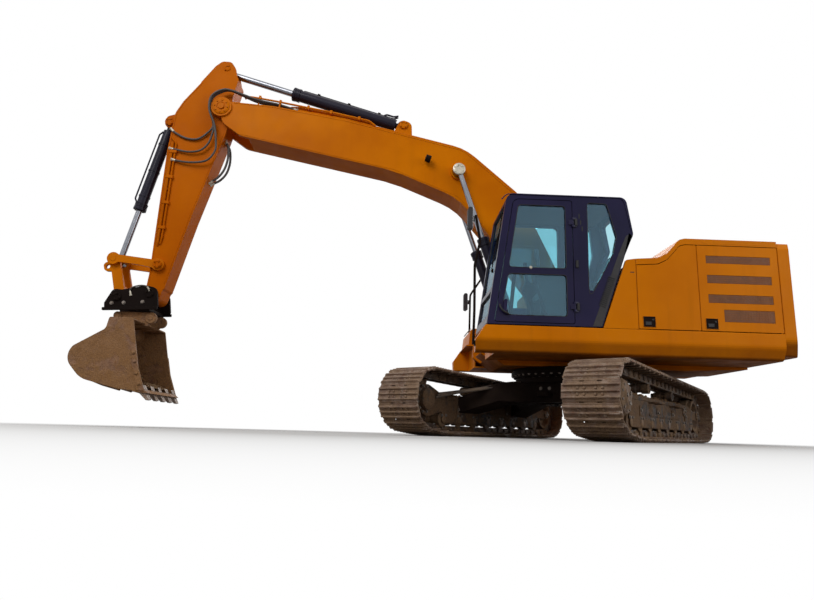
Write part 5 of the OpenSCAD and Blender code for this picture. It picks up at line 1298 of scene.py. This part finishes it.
# %% Glands of the cylinders, with their bands and bolts
STICK_CYLINDER = (2308.9, 4497.5), (4963.5, 5264.2)
BUCKET_CYLINDER = (5745.7, 4394.6), (6250.4, 2268.6)
CYLINDERS = [
    # body of the barrel, foot and eye, side, radius, length
    ("boom_barrels", ((640, 1180), (1504.9, 3710.0)), (-338, 338), 70, 1610),
    ("stick_barrel", STICK_CYLINDER, (0,), 86, 1740), ("bucket_barrel", BUCKET_CYLINDER, (0,), 74, 1390)]
BANDS = ((-108, 16, 15), (-84, 10, 13), (-62, 10, 13), (-40, 38, 16))
for body, line, sides, radius, length in CYLINDERS:
    bands, heads = Draft(), []
    for y in sides:
        place, rod = on_line(*line, y), radius * 0.56
        for start, width, rise in BANDS:
            low, high = length + start, length + start + width
            bands.turned([(radius, low), (radius + rise, low), (radius + rise, high), (radius, high)],
                         way=(1, 0, 0), sides=40, place=place)
        bands.turned([(rod + 3, length - 1), (radius - 4, length - 1), (radius - 6, length + 8),
                      (rod + 10, length + 12), (rod + 3, length + 12)], way=(1, 0, 0), sides=40, place=place)
        heads += carried(place, ring((length + 4, 0, 0), (1, 0, 0), radius - 17, 10))
    bands.make(f"{body}_gland", body, barrel_paint, edge=1)
    bolts(f"{body}_bolts", body, Matrix(), heads, bolt_steel, 14, 9)
print("glands on", len(CYLINDERS), "kinds of cylinder")

# %% Hard pipes and their clamps on the cylinders
pipes, clamps, place = Draft(), Draft(), on_line(*STICK_CYLINDER)
for y, start, end in ((-34, 190, 1610), (34, 190, 300)):
    run = [(start - 60, y * 0.6, 150), (start, y, 112), (end, y, 112), (end + 30, y, 84)]
    pipes.tube(bent_path(run, 40), 14, place=place)
for x in (420, 900, 1380):
    clamps.block((x - 20, -62, 84), (x + 20, 0, 128), place)
pipes.make("stick_cylinder_pipes", "stick_barrel", barrel_paint, edge=0)
clamps.make("stick_cylinder_clamps", "stick_barrel", black_paint, edge=2)
pipes, clamps, place = Draft(), Draft(), on_line(*BUCKET_CYLINDER)
pipes.tube(bent_path([(150, 40, 60), (210, 44, 98), (1240, 44, 98), (1275, 40, 72)], 30), 12, place=place)
for x in (330, 760, 1160):
    clamps.turned([(80, 0), (80, 26), (74, 26), (74, 0)], (x, 0, 0), (1, 0, 0), 32, place)
pipes.make("bucket_cylinder_pipe", "bucket_barrel", barrel_paint, edge=0)
clamps.make("bucket_cylinder_clamps", "bucket_barrel", barrel_paint, edge=1)
print("pipes along two cylinders")

# %% [markdown]
# ## Hoses over the joint of boom and stick
# Oil reaches the stick through hoses that loop round the joint, long enough for every position. They are
# tubes along smooth curves. Their first half is given on the boom's drawing and their second half on the
# stick's, and a blend lets them turn with the joint between the two.


# %% Hoses and their fittings
def mixed(points, parts=7):
    """Smooth path through points that are given as (frame, x, y, z)."""
    return smooth_path([frame_at @ Vector(p) for frame_at, *p in points], parts)


def hose(draft, ends, path, radius=15):
    """A hose with a hexagon nut and a collar at both of its ends."""
    draft.tube(path, radius * MM)
    for a, b in ((path[0], path[1]), (path[-1], path[-2])):
        for wider, low, high, sides in ((3, -0.004, 0.045, 10), (8, -0.022, -0.004, 6)):
            r = (radius + wider) * MM
            ends.turned([(r, low), (r, high)], a, (b - a).normalized(), sides)


LOOPS = [
    # points on the stick after the common run, then where the hose ends
    [(450, 90), (561, 187), (591, 343), (559, 506), (520, 590)],
    [(470, -11), (604, 5), (724, 83), (788, 241), (800, 400), (806, 500)],
    [(493, -92), (673, -141), (837, -78), (915, 75), (953, 256), (960, 410)]]
hoses, fittings = Draft(), Draft()
for k, loop in enumerate(LOOPS):
    y = 214 + 30 * k
    run = [(BOOM, 4760, 130 + 28 * k, 566), (BOOM, 5020, 150 + 28 * k, 476 + 8 * k),
           (BOOM, 5300, y - 6, 352 + 6 * k), (STICK, -285 + 8 * k, y + 18, -67), (STICK, -218, y + 26, 81),
           (STICK, -88, y + 22, 174), (STICK, 101, y + 8, 140), (STICK, 298, y - 8, 32 - 16 * k)]
    for i, (x, z) in enumerate(loop):
        share = i / (len(loop) - 1)
        run.append((STICK, x, (y - 16) * (1 - share) + 190 * share + 4 * k, z))
    hose(hoses, fittings, mixed(run))
FLEX_START = BOOM @ Vector((5560, 220, 220))
FLEX_END = STICK @ Vector((330, 220, 20))
joint_hoses = hoses.make("joint_hoses", None, hose_rubber, edge=0, crease=60)
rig.blend(joint_hoses, "boom", "stick", start=tuple(FLEX_START), end=tuple(FLEX_END))
joint_fittings = fittings.make("joint_fittings", None, zinc, edge=0)
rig.blend(joint_fittings, "boom", "stick", start=tuple(FLEX_START), end=tuple(FLEX_END))
hoses, fittings = Draft(), Draft()
for y in (-40, 40):
    sag = ((420, 1, -158), (500, 1.3, -226), (603, 1.6, -267), (720, 1.7, -292), (861, 1.7, -290),
           (990, 1.4, -240), (1090, 1, -150))
    hose(hoses, fittings, mixed([(STICK, x, y * share, z) for x, share, z in sag]), 17)
hoses.make("stick_hoses", "stick", hose_rubber, edge=0, crease=60)
fittings.make("stick_hose_fittings", "stick", zinc, edge=0)
print("five hoses at the joint")

# %% Pipes and clamps on the boom's tip
OUTER_PIPE, CLAMP_SLOPE = 214, radians(20)
pipes, clamps = Draft(), Draft()
for k, y in enumerate((-190, -120, 66, 118, 170, OUTER_PIPE)):
    rise = 10 * (k % 2)
    run = [(3640, y, 952 + rise), (3760, y, 972 + rise), (4300, y, 790 + rise), (4760, y, 618 + rise)]
    # The stick's tail sweeps over the tip, so only the outermost pipe goes on past it
    if y == OUTER_PIPE:
        run += [(5080, y, 500 + rise), (5330, y, 412), (5450, y, 360), (5480, y, 300)]
    else:
        run += [(4860, y, 560), (4890, y, 440)]
    pipes.tube(bent_path(run, 110 if y == OUTER_PIPE else 60), 14.5, place=BOOM)
ALL_PIPES, ONE_PIPE = ((-212, -98), (44, 236)), ((197, 236),)
for x, z, spans, foot in (
        (3900, 920, ALL_PIPES, -95), (4300, 782, ALL_PIPES, -95), (4620, 668, ALL_PIPES, -95),
        (5010, 522, ONE_PIPE, -95), (5300, 420, ONE_PIPE, -130)):
    place = BOOM @ Matrix.Translation((x, 0, z)) @ Matrix.Rotation(CLAMP_SLOPE, 4, "Y")
    for y0, y1 in spans:
        clamps.block((-17, y0, -14), (17, y1, 40), place)
        clamps.block((-10, y0 + 8, foot), (10, y0 + 30, -10), place)
pipes.make("boom_tip_pipes", "boom", deep_orange, edge=0, crease=60)
clamps.make("boom_tip_clamps", "boom", deep_orange, edge=3)
print("six pipes on the boom's tip")

# %% Pipes and clamps beside the stick
PIPE_RUN, PIPE_FALL = 1400, 300
pipes, clamps = Draft(), Draft()
for run, radius in (([(640, 188, 545), (700, 192, 452), (2100, 192, 152), (2190, 180, 150)], 13),
                    ([(2098, 192, 200), (2190, 192, 181), (2240, 150, 178)], 15)):
    pipes.tube(bent_path(run, 60), radius, place=STICK)
for share in (0.1, 0.37, 0.64, 0.9):
    spot = Matrix.Translation((700 + PIPE_RUN * share, 172, 478 - PIPE_FALL * share))
    place = STICK @ spot @ Matrix.Rotation(atan2(PIPE_FALL, PIPE_RUN), 4, "Y")
    clamps.block((-22, -2, -52), (22, 40, 48), place)
pipes.make("stick_side_pipes", "stick", stick_paint, edge=0, crease=60)
clamps.make("stick_pipe_clamps", "stick", stick_paint, edge=3)
print("two pipes beside the stick")

# %% Weld lines of the boom and the stick
WELDS = [
    # body, frame, half width, finish, upper and lower edge
    ("boom", BOOM, 240, deep_orange,
     [(-100, 95), (1300, 1108), (2350, 1308), (4060, 778), (5050, 398), (5560, 150)],
     [(40, -148), (1500, 462), (2050, 662), (3050, 522), (5200, -203)]),
    ("stick", STICK, 170, stick_paint,
     [(-330, 418), (40, 568), (250, 618), (850, 523), (2380, 178), (2800, 92)],
     [(350, -143), (1700, -103), (2700, -103)])]
for body, place, half, look, *edges in WELDS:
    welds = Draft()
    for points in edges:
        for side in SIDES:
            welds.tube(bent_path([(x, side * half, z) for x, z in points], 260), 4.5, 6, place=place)
    welds.make(f"{body}_welds", body, look, edge=0)
print("weld lines drawn")

# %% Coupler: hoses, lock cylinder and bolts
hoses, fittings = Draft(), Draft()
for y in (272, -272):
    run = ((251, 1, -20), (262, 1.02, 44), (217, 1.02, 82), (120, 1.02, 104), (44, 1.02, 92), (10, 1, 50))
    hose(hoses, fittings, mixed([(COUPLER, x, y * share, z) for x, share, z in run], 6), 10)
hoses.make("coupler_hoses", "bucket", hose_rubber, edge=0, crease=60)
fittings.make("coupler_fittings", "bucket", zinc, edge=0)
lock = Draft(COUPLER)
lock.turned([(20, 0), (30, 4), (30, 110), (20, 114), (12, 116), (12, 150)], (110, 0, -208), (1, 0, 0), 28)
lock.make("coupler_lock", "bucket", black_paint, edge=2)
spots = [((x, side * 272, z), (0, side, 0))
         for side in SIDES for x, z in ((80, -120), (330, -140), (490, -150))]
bolts("coupler_bolts", "bucket", COUPLER, spots, bolt_steel, 32, 18)
print("coupler dressed")

# %% Bucket: side cutters, wear bars and the soil in it
SHELL, HALF = 24, 600
trim, ledge = Draft(COUPLER), Draft(COUPLER)
for side in SIDES:
    trim.plate([(-205, -1325), (-96, -1030), (-40, -780), (14, -770), (-24, -1030), (-110, -1325)],
               *sorted((side * (HALF - 4), side * (HALF + 16))))
    for x, z in ((-130, -1240), (-84, -1110), (-46, -960), (-22, -850)):
        trim.turned([(20, 0), (20, 14), (12, 20), (0, 20)], (x, side * 613, z), (0, side, 0), 12)
for y in (-380, 0, 380):
    trim.tube([(x, y, z) for x, z in ((190, -1309), (420, -1250), (640, -1170), (760, -1060))], 16, 8)
trim.make("bucket_trim", "bucket", bucket_steel, edge=3)
soil_sheet(ledge, (-120, 260), (-1258, -1222), (-560, 560), 14, 60, 3)
soil_sheet(ledge, (240, 600), (-1226, -1115), (-560, 560), 14, 60, 4)
make_soil(ledge, "bucket", "bucket_soil_lumps", "bucket_soil", 520, 32, 21)
print("bucket dressed")

# %% [markdown]
# ## Bucket shell
# A digging bucket is a floor plate rolled to a curve between two flat side plates, with a flat hinge plate
# on top. The photograph shows a straight top and a round heel, so the scene draws the plates again from
# that outline, and they stand for the solid bucket. Each plate has its true thickness.

# %% Plates of the bucket
CURVE = [(-200, -1330, 0), (120, -1310, 250), (620, -1190, 300), (850, -930, 185), (760, -780, 105),
         (375, -545, 80), (345, -392, 30)]
OUTSIDE = rounded([(43, -392, 30), (-17, -690, 0), (-92, -1030, 0)] + CURVE, 9)
FLOOR = rounded(CURVE + [(43, -392, 30)], 9)
form = Draft(COUPLER)
for side in SIDES:
    form.plate(OUTSIDE, side * (HALF - 12) - 12, side * (HALF - 12) + 12)
inner = []
for i, (x, z) in enumerate(FLOOR):
    along = (Vector(FLOOR[min(i + 1, len(FLOOR) - 1)]) - Vector(FLOOR[max(i - 1, 0)])).normalized()
    inner.append((x - along.y * SHELL, z + along.x * SHELL))
for a, b, c, d in zip(FLOOR, FLOOR[1:], inner[1:], inner):
    form.plate([a, b, c, d], -HALF + 22, HALF - 22)
# Cutting lip, hinge ears and pin bosses
form.plate([(-246, -1352), (-60, -1340), (-40, -1300), (-190, -1306)], -HALF - 6, HALF + 6)
for side in SIDES:
    form.plate(rounded([(-100, -350, 40), (20, -440, 40), (330, -440, 0), (480, -320, 45), (440, -252, 20),
                        (-80, -252, 40)]), *sorted((side * 172, side * 210)))
    for x, z, radius in ((-32, -328, 76), (415, -306, 54)):
        form.turned([(radius, 0), (radius, 50), (radius - 6, 56), (32, 56), (30, 64), (0, 64)],
                    (x, side * 170, z), (0, side, 0), 32)
bucket_form = form.make("bucket_form", "bucket", bucket_steel, edge=2.5)
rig.replaces(bucket_form, "bucket")
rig.slot(bucket_form, "earth_steel")
print("bucket of", len(FLOOR) - 1, "floor strips")

# %% [markdown]
# ## Body panels
# The side doors have black latches with a dark paddle, and the cooler door has four panels of fine louvre
# mesh. A mesh is many crossing bars, so the slat tree makes it from the sizes of each panel. The mesh lies
# just behind the door's face, as on the real one, and its backing has its colour.

# %% Louvre panels of the cooler door
BODY_SIDE, MESH_STEP, COLUMN_STEP = 1370, 9, 34
LOUVRES = [(-1430, -2230, 2165, 2262), (-1430, -2230, 1915, 2018), (-1430, -2230, 1670, 1775),
           (-1610, -2230, 1440, 1590)]
backing, count = Draft(UPPER), 0
for k, (front, rear, low, high) in enumerate(LOUVRES):
    middle, length = (front + rear) / 2, front - rear
    backing.block((rear + 3, BODY_SIDE - 4.8, low + 3), (front - 3, BODY_SIDE - 3.6, high - 3))
    rows, columns = int((high - low - 10) / MESH_STEP), int(length / COLUMN_STEP)
    slats(f"louvre_rows_{k}", "left_cooler_door", UPPER, rows, (middle, BODY_SIDE - 3, low + 8),
          (0, 0, MESH_STEP), (length - 6, 2.4, 3.6), louvre_mesh)
    slats(f"louvre_columns_{k}", "left_cooler_door", UPPER, columns,
          (rear + 18, BODY_SIDE - 2.6, (low + high) / 2), (COLUMN_STEP, 0, 0), (3, 2.4, high - low - 6),
          louvre_mesh)
    count += rows + columns
backing.make("louvre_backing", "left_cooler_door", louvre_mesh, edge=0)
print(count, "bars in", len(LOUVRES), "louvre panels")


# %% Strips over the skirts, latches of the doors
def on_side(draft, side, out_by, thick, x_ends, z_ends):
    """A flat block on a side of the body, so far out from it and so thick."""
    y = side * (BODY_SIDE + out_by)
    draft.block((x_ends[0], y - thick / 2, z_ends[0]), (x_ends[1], y + thick / 2, z_ends[1]))


strips, notch = Draft(UPPER), Draft(UPPER)
for side in SIDES:
    on_side(strips, side, -1, 3, (-2228, -1402), (2412, 2446))
strips.make("top_strips", "upper", orange, edge=0)
LATCHES = [("left_pump_door", 1, -690), ("left_cooler_door", 1, -1450), ("right_pump_door", -1, -690),
           ("right_engine_door", -1, -1450)]
LATCH_HALF, LATCH_RIM, LATCH_LOW, LATCH_HIGH = 72, 7, 1349, 1475
for body, side, x in LATCHES:
    latch, paddle = Draft(UPPER), Draft(UPPER)
    front, rear = x - LATCH_HALF, x + LATCH_HALF
    on_side(latch, side, 3, 2, (front, rear), (LATCH_LOW, LATCH_HIGH))
    for low in (LATCH_LOW, LATCH_HIGH - LATCH_RIM):
        on_side(latch, side, 5, 4, (front, rear), (low, low + LATCH_RIM))
    for left in (front, rear - LATCH_RIM):
        on_side(latch, side, 5, 4, (left, left + LATCH_RIM), (LATCH_LOW, LATCH_HIGH))
    on_side(paddle, side, 7, 6, (x - 22, x + 50), (1372, 1412))
    paddle.turned([(13, 0), (13, 4), (10, 6), (4, 6), (4, 3), (0, 3)], (x - 44, side * (BODY_SIDE + 4), 1436),
                  (0, side, 0), 20)
    latch.make(f"{body}_latch", body, black_paint, edge=1)
    paddle.make(f"{body}_paddle", body, plastic, edge=1)
on_side(notch, 1, 0, 2, (-534, -486), (2012, 2022))
notch.make("panel_notch", "upper", rubber, edge=0)
print(len(LATCHES), "latches")

# %% Lifting eyes of the counterweight
weight = Draft(UPPER)
for side in SIDES:
    weight.tube([(-2560, side * 640 + 90 * cos(a), 2446 + 105 * sin(a))
                 for a in (pi * k / 12 for k in range(13))], 19)
    for y in (-90, 90):
        weight.turned([(46, 0), (46, 8), (28, 22), (20, 26)], (-2560, side * 640 + y, 2442), sides=20)
weight.make("counterweight_trim", "upper", orange, edge=2)
print("counterweight fitted")

# %% Tank caps, tread studs, hood handles and scoops
top, handles, scoops = Draft(UPPER), Draft(UPPER), Draft(UPPER)
top.turned([(86, 0), (86, 10), (74, 14), (70, 60), (62, 70), (0, 70)], (-120, -900, 2188), sides=32)
top.turned([(30, 0), (30, 26), (24, 34), (0, 34)], (140, -620, 2188), sides=20)
top.make("tank_caps", "upper", black_paint, edge=2)
for name, middle, size, counts in (
        ("tool_box_studs", (620, -930, 1892), (470, 760), (10, 16)),
        ("step_studs", (1070, -930, 1572), (270, 760), (6, 16)),
        ("deck_studs", (-290, -900, 2192), (380, 820), (8, 17))):
    studs(name, "upper", UPPER, middle, size, counts, bolt_steel)
for side in SIDES:
    grip = [(-70, 2502), (-70, 2546), (70, 2546), (70, 2502)]
    handles.tube(bent_path([(-1390, side * 700 + y, z) for y, z in grip], 18), 8, 8)
handles.make("hood_handles", "hood", black_paint, edge=0)
SCOOP_Y, SCOOP_FOOT, SCOOP_TOP, SCOOP_Z, SCOOP_RISE = 400, 220, 160, 2500, 44
for k, side in enumerate(SIDES):
    scoops.loft([[(x, side * SCOOP_Y + y, SCOOP_Z + z) for y, z in (
        (-SCOOP_FOOT, 0), (SCOOP_FOOT, 0), (SCOOP_TOP - e, SCOOP_RISE - e), (e - SCOOP_TOP, SCOOP_RISE - e))]
        for x, e in ((-2080, 12), (-2060, 0), (-1500, 0), (-1480, 12))])
    slats(f"scoop_bars_{k}", "hood", UPPER, 22, (-2045, side * SCOOP_Y, 2545), (25, 0, 0), (9, 290, 6),
          black_paint)
scoops.make("hood_scoops", "hood", orange, edge=6)
print("tops fitted")

# %% Slots on the right side
for k, z in enumerate((1560, 1760, 1960)):
    slats(f"right_slots_{k}", "right_engine_door", UPPER, 24, (-2140, -BODY_SIDE - 1, z), (28, 0, 0),
          (12, 3, 120), black_paint)
print("right side fitted")

# %% [markdown]
# ## Outside of the cab
# Black rubber runs round each pane, a wiper parks on the windscreen, and lamps sit on the roof. Ribs lie
# on the pillar behind the door. Each follows the outline that the solids have.

# %% Window rubbers, wiper and drip rail
CAB_SIDE, CAB_TOP_SLOPE = 1375, 250 / 1650
WINDOWS = [
    ("cab_door", [(295, 1440), (998, 1440), (1067, 1600), (1000, 1950), (295, 1950)]),
    ("cab_door", [(295, 2030), (998, 2030), (877, 2830), (295, 2830)]),
    ("upper", [(30, 1640), (20, 2885), (-225, 2880), (-335, 2460), (-285, 2240)])]
for k, (body, points) in enumerate(WINDOWS):
    seal = Draft(UPPER)
    seal.tube(bent_loop([(x, CAB_SIDE - 3, z) for x, z in points], 45), 5, 8, closed=True)
    seal.make(f"window_rubber_{k}", body, rubber, edge=0)


def front_x(z):
    """Front of the cab at a height."""
    return 1265 - (z - 1325) * CAB_TOP_SLOPE


trim, wiper, rail = Draft(UPPER), Draft(UPPER), Draft(UPPER)
for low, high in ((1435, 1730), (1790, 2855)):
    corners = [(front_x(z) - 20, y, z) for y, z in ((497, low), (1313, low), (1313, high), (497, high))]
    trim.tube(bent_loop(corners, 60), 10, 8, closed=True)
trim.make("screen_rubbers", "upper", rubber, edge=0)
wiper.turned([(26, 0), (26, 14), (16, 26), (0, 26)], (front_x(2025) - 4, 1180, 2022), (1, 0, 0), 20)
wiper.tube([(front_x(2030) + 16, 1180, 2022), (front_x(2250) + 12, 1160, 2250),
            (front_x(2520) - 6, 1120, 2520)], 6, 8)
wiper.tube([(front_x(2200) - 14, 1150, 2200), (front_x(2820) - 14, 1090, 2820)], 7, 8)
wiper.make("wiper", "upper", black_paint, edge=0)
rail_line = [(1085, 2890), (1020, 2962), (-440, 2962), (-520, 2560)]
rail.tube(bent_path([(x, CAB_SIDE + 3, z) for x, z in rail_line], 90), 7, 8)
rail.make("drip_rail", "upper", cab_paint, edge=0)
print("panes, wiper and rail")

# %% Door hardware, slots, rear strip and ribs
RIBS, RIB_STEP = 16, 25
lock, hardware, slots, strip = (Draft(UPPER) for _ in range(4))
lock.turned([(19, 0), (19, 8), (15, 13), (6, 13), (6, 8), (0, 8)], (731, CAB_SIDE - 1, 2030), (0, 1, 0), 24)
lock.make("cab_lock", "cab_door", zinc, edge=1)
hardware.tube(smooth_path([(1112, 1382, 1560), (1108, 1412, 1520), (1075, 1420, 1478), (1030, 1412, 1454),
                           (998, 1382, 1446)]), 11)
for z in (1560, 2090, 2620):
    hardware.turned([(17, -44), (17, 44)], (168, CAB_SIDE + 11, z), sides=16)
hardware.make("cab_door_hardware", "cab_door", rubber, edge=1)
for k in range(3):
    x, z = 158 - 17 * k, 2705 - 80 * k
    slots.block((x - 42, CAB_SIDE - 2, z - 30), (x - 28, CAB_SIDE + 1, z + 30))
slots.make("pillar_slots", "upper", rubber, edge=0)
strip.plate(rounded([(-4, 1332, 0), (-112, 1332, 0), (-421, 2232, 40), (-524, 2486, 40), (-470, 2520, 60),
                     (-330, 2190, 60)]), CAB_SIDE - 1, CAB_SIDE + 3)
strip.make("cab_rear_strip", "upper", plastic, edge=1)
place = UPPER @ Matrix.Translation((-190, CAB_SIDE + 5, 1763)) @ Matrix.Rotation(radians(-20), 4, "Y")
slats("cab_ribs", "upper", place, RIBS, (0, 0, -190), (0, 0, RIB_STEP), (84, 8, 11), rubber)
print("door hardware and", RIBS, "ribs")

# %% Work lamps on the roof and the boom
housings, lenses, boom_lenses = Draft(UPPER), Draft(UPPER), Draft(BOOM)
for y in (620, 1190):
    housings.block((900, y - 50, 2980), (944, y + 50, 3030))
    housings.block((910, y - 12, 2960), (934, y + 12, 2982))
    lenses.block((944, y - 42, 2986), (947, y + 42, 3024))
housings.make("roof_lamps", "upper", plastic, edge=6)
lenses.make("roof_lamp_lenses", "upper", lamp_pane, edge=1)
for side in SIDES:
    boom_lenses.turned([(46, 0), (46, 3), (38, 8), (20, 12), (0, 13)], (2736, side * 320, 888),
                       (0.985, 0, -0.174), 28)
boom_lenses.make("boom_lamp_lenses", "boom", reflector, edge=0)
print("lamps on the roof and the boom")

# %% Mirror glass
faces = Draft(UPPER)
for x, y, z in ((1386.7, 1290, 2650), (1121.8, -1270, 2130)):
    faces.block((x + 42, y - 42, z - 128), (x + 45, y + 42, z + 128))
faces.make("mirror_glass", "upper", mirror_face, edge=1)
print("mirrors glazed")

# %% [markdown]
# ## Inside the cab
# Through the glass one sees the seat, two armrest consoles with levers, a monitor on the front pillar,
# pedals and the headlining. The levers' boots are turned parts with folds.

# %% Levers, monitor, pedals, blind and headlining
SEAT_Y, CAB_SIDES, BLIND_SIDES = 905, (510, 1300), (520, 1290)
inside, pale, glow, blind = (Draft(UPPER) for _ in range(4))
for side in SIDES:
    y, pedal_y = SEAT_Y + side * 330, SEAT_Y + side * 70
    inside.turned([(58, 0), (58, 8), (46, 14), (52, 24), (38, 32), (43, 42), (29, 50), (33, 58), (18, 66)],
                  (590, y, 1996), (0.14, 0, 1), 24)
    inside.turned([(24, 0), (30, 30), (31, 70), (27, 105), (32, 140), (24, 165), (0, 172)],
                  (612, y, 2140), (0.10, side * -0.12, 1), 20)
    pale.turned([(7, 0), (7, 5), (0, 6)], (600, y - side * 10, 2300), (-0.3, 0, 1), 12)
    pale.block((230, y - 38, 2008), (480, y + 38, 2014))
    inside.plate(rounded([(60, 2012, 16), (520, 2012, 16), (520, 2058, 20), (60, 2058, 20)]), y - 52, y + 52)
    inside.block((850, pedal_y - 45, 1450), (1000, pedal_y + 45, 1462))
    inside.turned([(30, 0), (30, 6), (20, 16), (25, 26), (14, 34)], (898, pedal_y, 1452), (-0.1, 0, 1), 20)
    inside.turned([(15, 0), (20, 30), (20, 90), (12, 110)], (838, pedal_y, 2040), (-0.1, 0, 1), 16)
inside.plate(rounded([(905, 1990, 20), (965, 1990, 20), (985, 2200, 20), (925, 2200, 20)]), 520, 790)
inside.tube([(930, 560, 1450), (940, 560, 1760), (940, 620, 2000)], 18)
glow.plate([(903, 2004), (906, 2004), (925, 2186), (922, 2186)], 540, 770)
inside.block((-330, CAB_SIDES[0], 2860), (900, CAB_SIDES[1], 2880))
inside.block((-250, BLIND_SIDES[0], 1450), (-40, BLIND_SIDES[1], 1900))
inside.make("cab_trim", "upper", plastic, edge=4)
pale.make("cab_keys", "upper", pale_plastic, edge=1)
glow.make("monitor_face", "upper", screen_face, edge=0)
blind.block((880, BLIND_SIDES[0], 2790), (940, BLIND_SIDES[1], 2850))
for z in range(2840, 2840 - 9 * 26, -26):
    blind.tube([(front_x(z) - 52, y, z) for y in BLIND_SIDES], 13, 8)
blind.make("sun_blind", "upper", seat_cloth, edge=2)
print("inside of the cab fitted")

# %% [markdown]
# ## Seat cushions
# A cushion is foam under a cloth that pulls in at its seams. Each starts as a slightly small block, is
# remeshed to even cells, and swells under pressure in a cloth simulation. The movement is capped so that
# the cushions stay on their base, and the sewn channels and the piping come last.

# %% Cushions swelled by cloth simulation
PAD_CELL, PAD_REACH, PRESSURE, CLOTH_FRAMES = 0.009, 0.020, 4, 20
pads = Draft(UPPER)
pads.plate(rounded([(104, 1731, 12), (576, 1731, 30), (576, 1832, 45), (104, 1832, 12)]), 668, 1142)
pads.plate(rounded([(92, 1866, 12), (182, 1866, 12), (92, 2482, 40), (6, 2482, 30)]), 678, 1132)
seat = pads.make("seat_cushions", None, seat_cloth, edge=0)


def settle(obj):
    """Replace the mesh by what its modifiers make of it."""
    made = bpy.data.meshes.new_from_object(obj.evaluated_get(bpy.context.evaluated_depsgraph_get()))
    obj.modifiers.clear()
    obj.data = made


remesh = seat.modifiers.new("Cells", "REMESH")
remesh.mode, remesh.voxel_size = "VOXEL", PAD_CELL
settle(seat)
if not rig.quick():
    start = [v.co.copy() for v in seat.data.vertices]
    cloth = seat.modifiers.new("Cloth", "CLOTH")
    cloth.settings.use_pressure = True
    cloth.settings.uniform_pressure_force = PRESSURE
    cloth.settings.effector_weights.gravity = 0
    cloth.point_cache.frame_start, cloth.point_cache.frame_end = 1, CLOTH_FRAMES
    for moment in range(1, CLOTH_FRAMES + 1):
        scene.frame_set(moment)
    settle(seat)
    scene.frame_set(1)
    for v, at in zip(seat.data.vertices, start):
        moved = v.co - at
        if moved.length > PAD_REACH:
            v.co = at + moved.normalized() * PAD_REACH
print(len(seat.data.vertices), "points in the cushions")

# %% Sewn channels, and room for the base and the consoles
CHANNELS, CHANNEL_WIDTH, CHANNEL_DEPTH = (815, 995), 9, 9
PAD_PARTING, PAD_FACE, BACK_LEAN = 1855, 1800, 0.154
PAD_SIDES, PAD_ENDS, PAD_LOW, PAD_HIGH, BACK_LOW = (655, 1155), (92, 598), 1718.5, 1846, 1849.5


def within(value, low, high):
    return min(max(value, low), high)


back_up = UPPER.inverted()
for v in seat.data.vertices:
    p = back_up @ v.co
    lower = p.z < PAD_PARTING
    groove = CHANNEL_DEPTH * max(exp(-((p.y - y) / CHANNEL_WIDTH) ** 2) for y in CHANNELS)
    if lower and p.z > PAD_FACE:
        p.z -= groove
    elif not lower and p.x > 140 - (p.z - 1847) * BACK_LEAN:
        p.x -= groove
    p.y = within(p.y, *PAD_SIDES)
    if lower:
        p.z = within(p.z, PAD_LOW, PAD_HIGH + 14 * within((p.x - 215) / 60, 0, 1))
        p.x = within(p.x, *PAD_ENDS)
    else:
        p.z = max(p.z, BACK_LOW)
    v.co = UPPER @ p
seat.data.polygons.foreach_set("use_smooth", [True] * len(seat.data.polygons))
subdivide(seat)
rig.ride(seat, "upper")
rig.replaces(seat, "seat_pads")
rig.padded(seat, fill=0.7)
print(len(seat.data.polygons), "cells in the cushions")

# %% Piping along the seams
PIPING_STEP = 25
piping = Draft()
for corners in ([(112, 676, 1826), (568, 676, 1826), (568, 1134, 1826), (112, 1134, 1826)],
                [(176, 686, 1880), (176, 1124, 1880), (88, 1124, 2470), (88, 686, 2470)]):
    path, dense = bent_loop(corners, 40), []
    for a, b in zip(path, path[1:] + path[:1]):
        steps = max(int((b - a).length / PIPING_STEP), 1)
        dense += [a.lerp(b, k / steps) for k in range(steps)]
    piping.tube([seat.closest_point_on_mesh(UPPER @ p)[1] for p in dense], 0.0035, 6, closed=True)
piping.make("seat_piping", "upper", seat_cloth, edge=0)
print("piping sewn on")

# %% [markdown]
# ## Sizes
# The dressed machine should have the size of the solids. Both boxes are written down, and the only place
# where the dressed one is larger is the heel of the bucket shell.

# %% Sizes
with open("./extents.json", "w") as file:
    json.dump({"solids": [list(p) for p in solid_box], "dressed": [list(p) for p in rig.bounds()]}, file)
print(open("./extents.json").read())
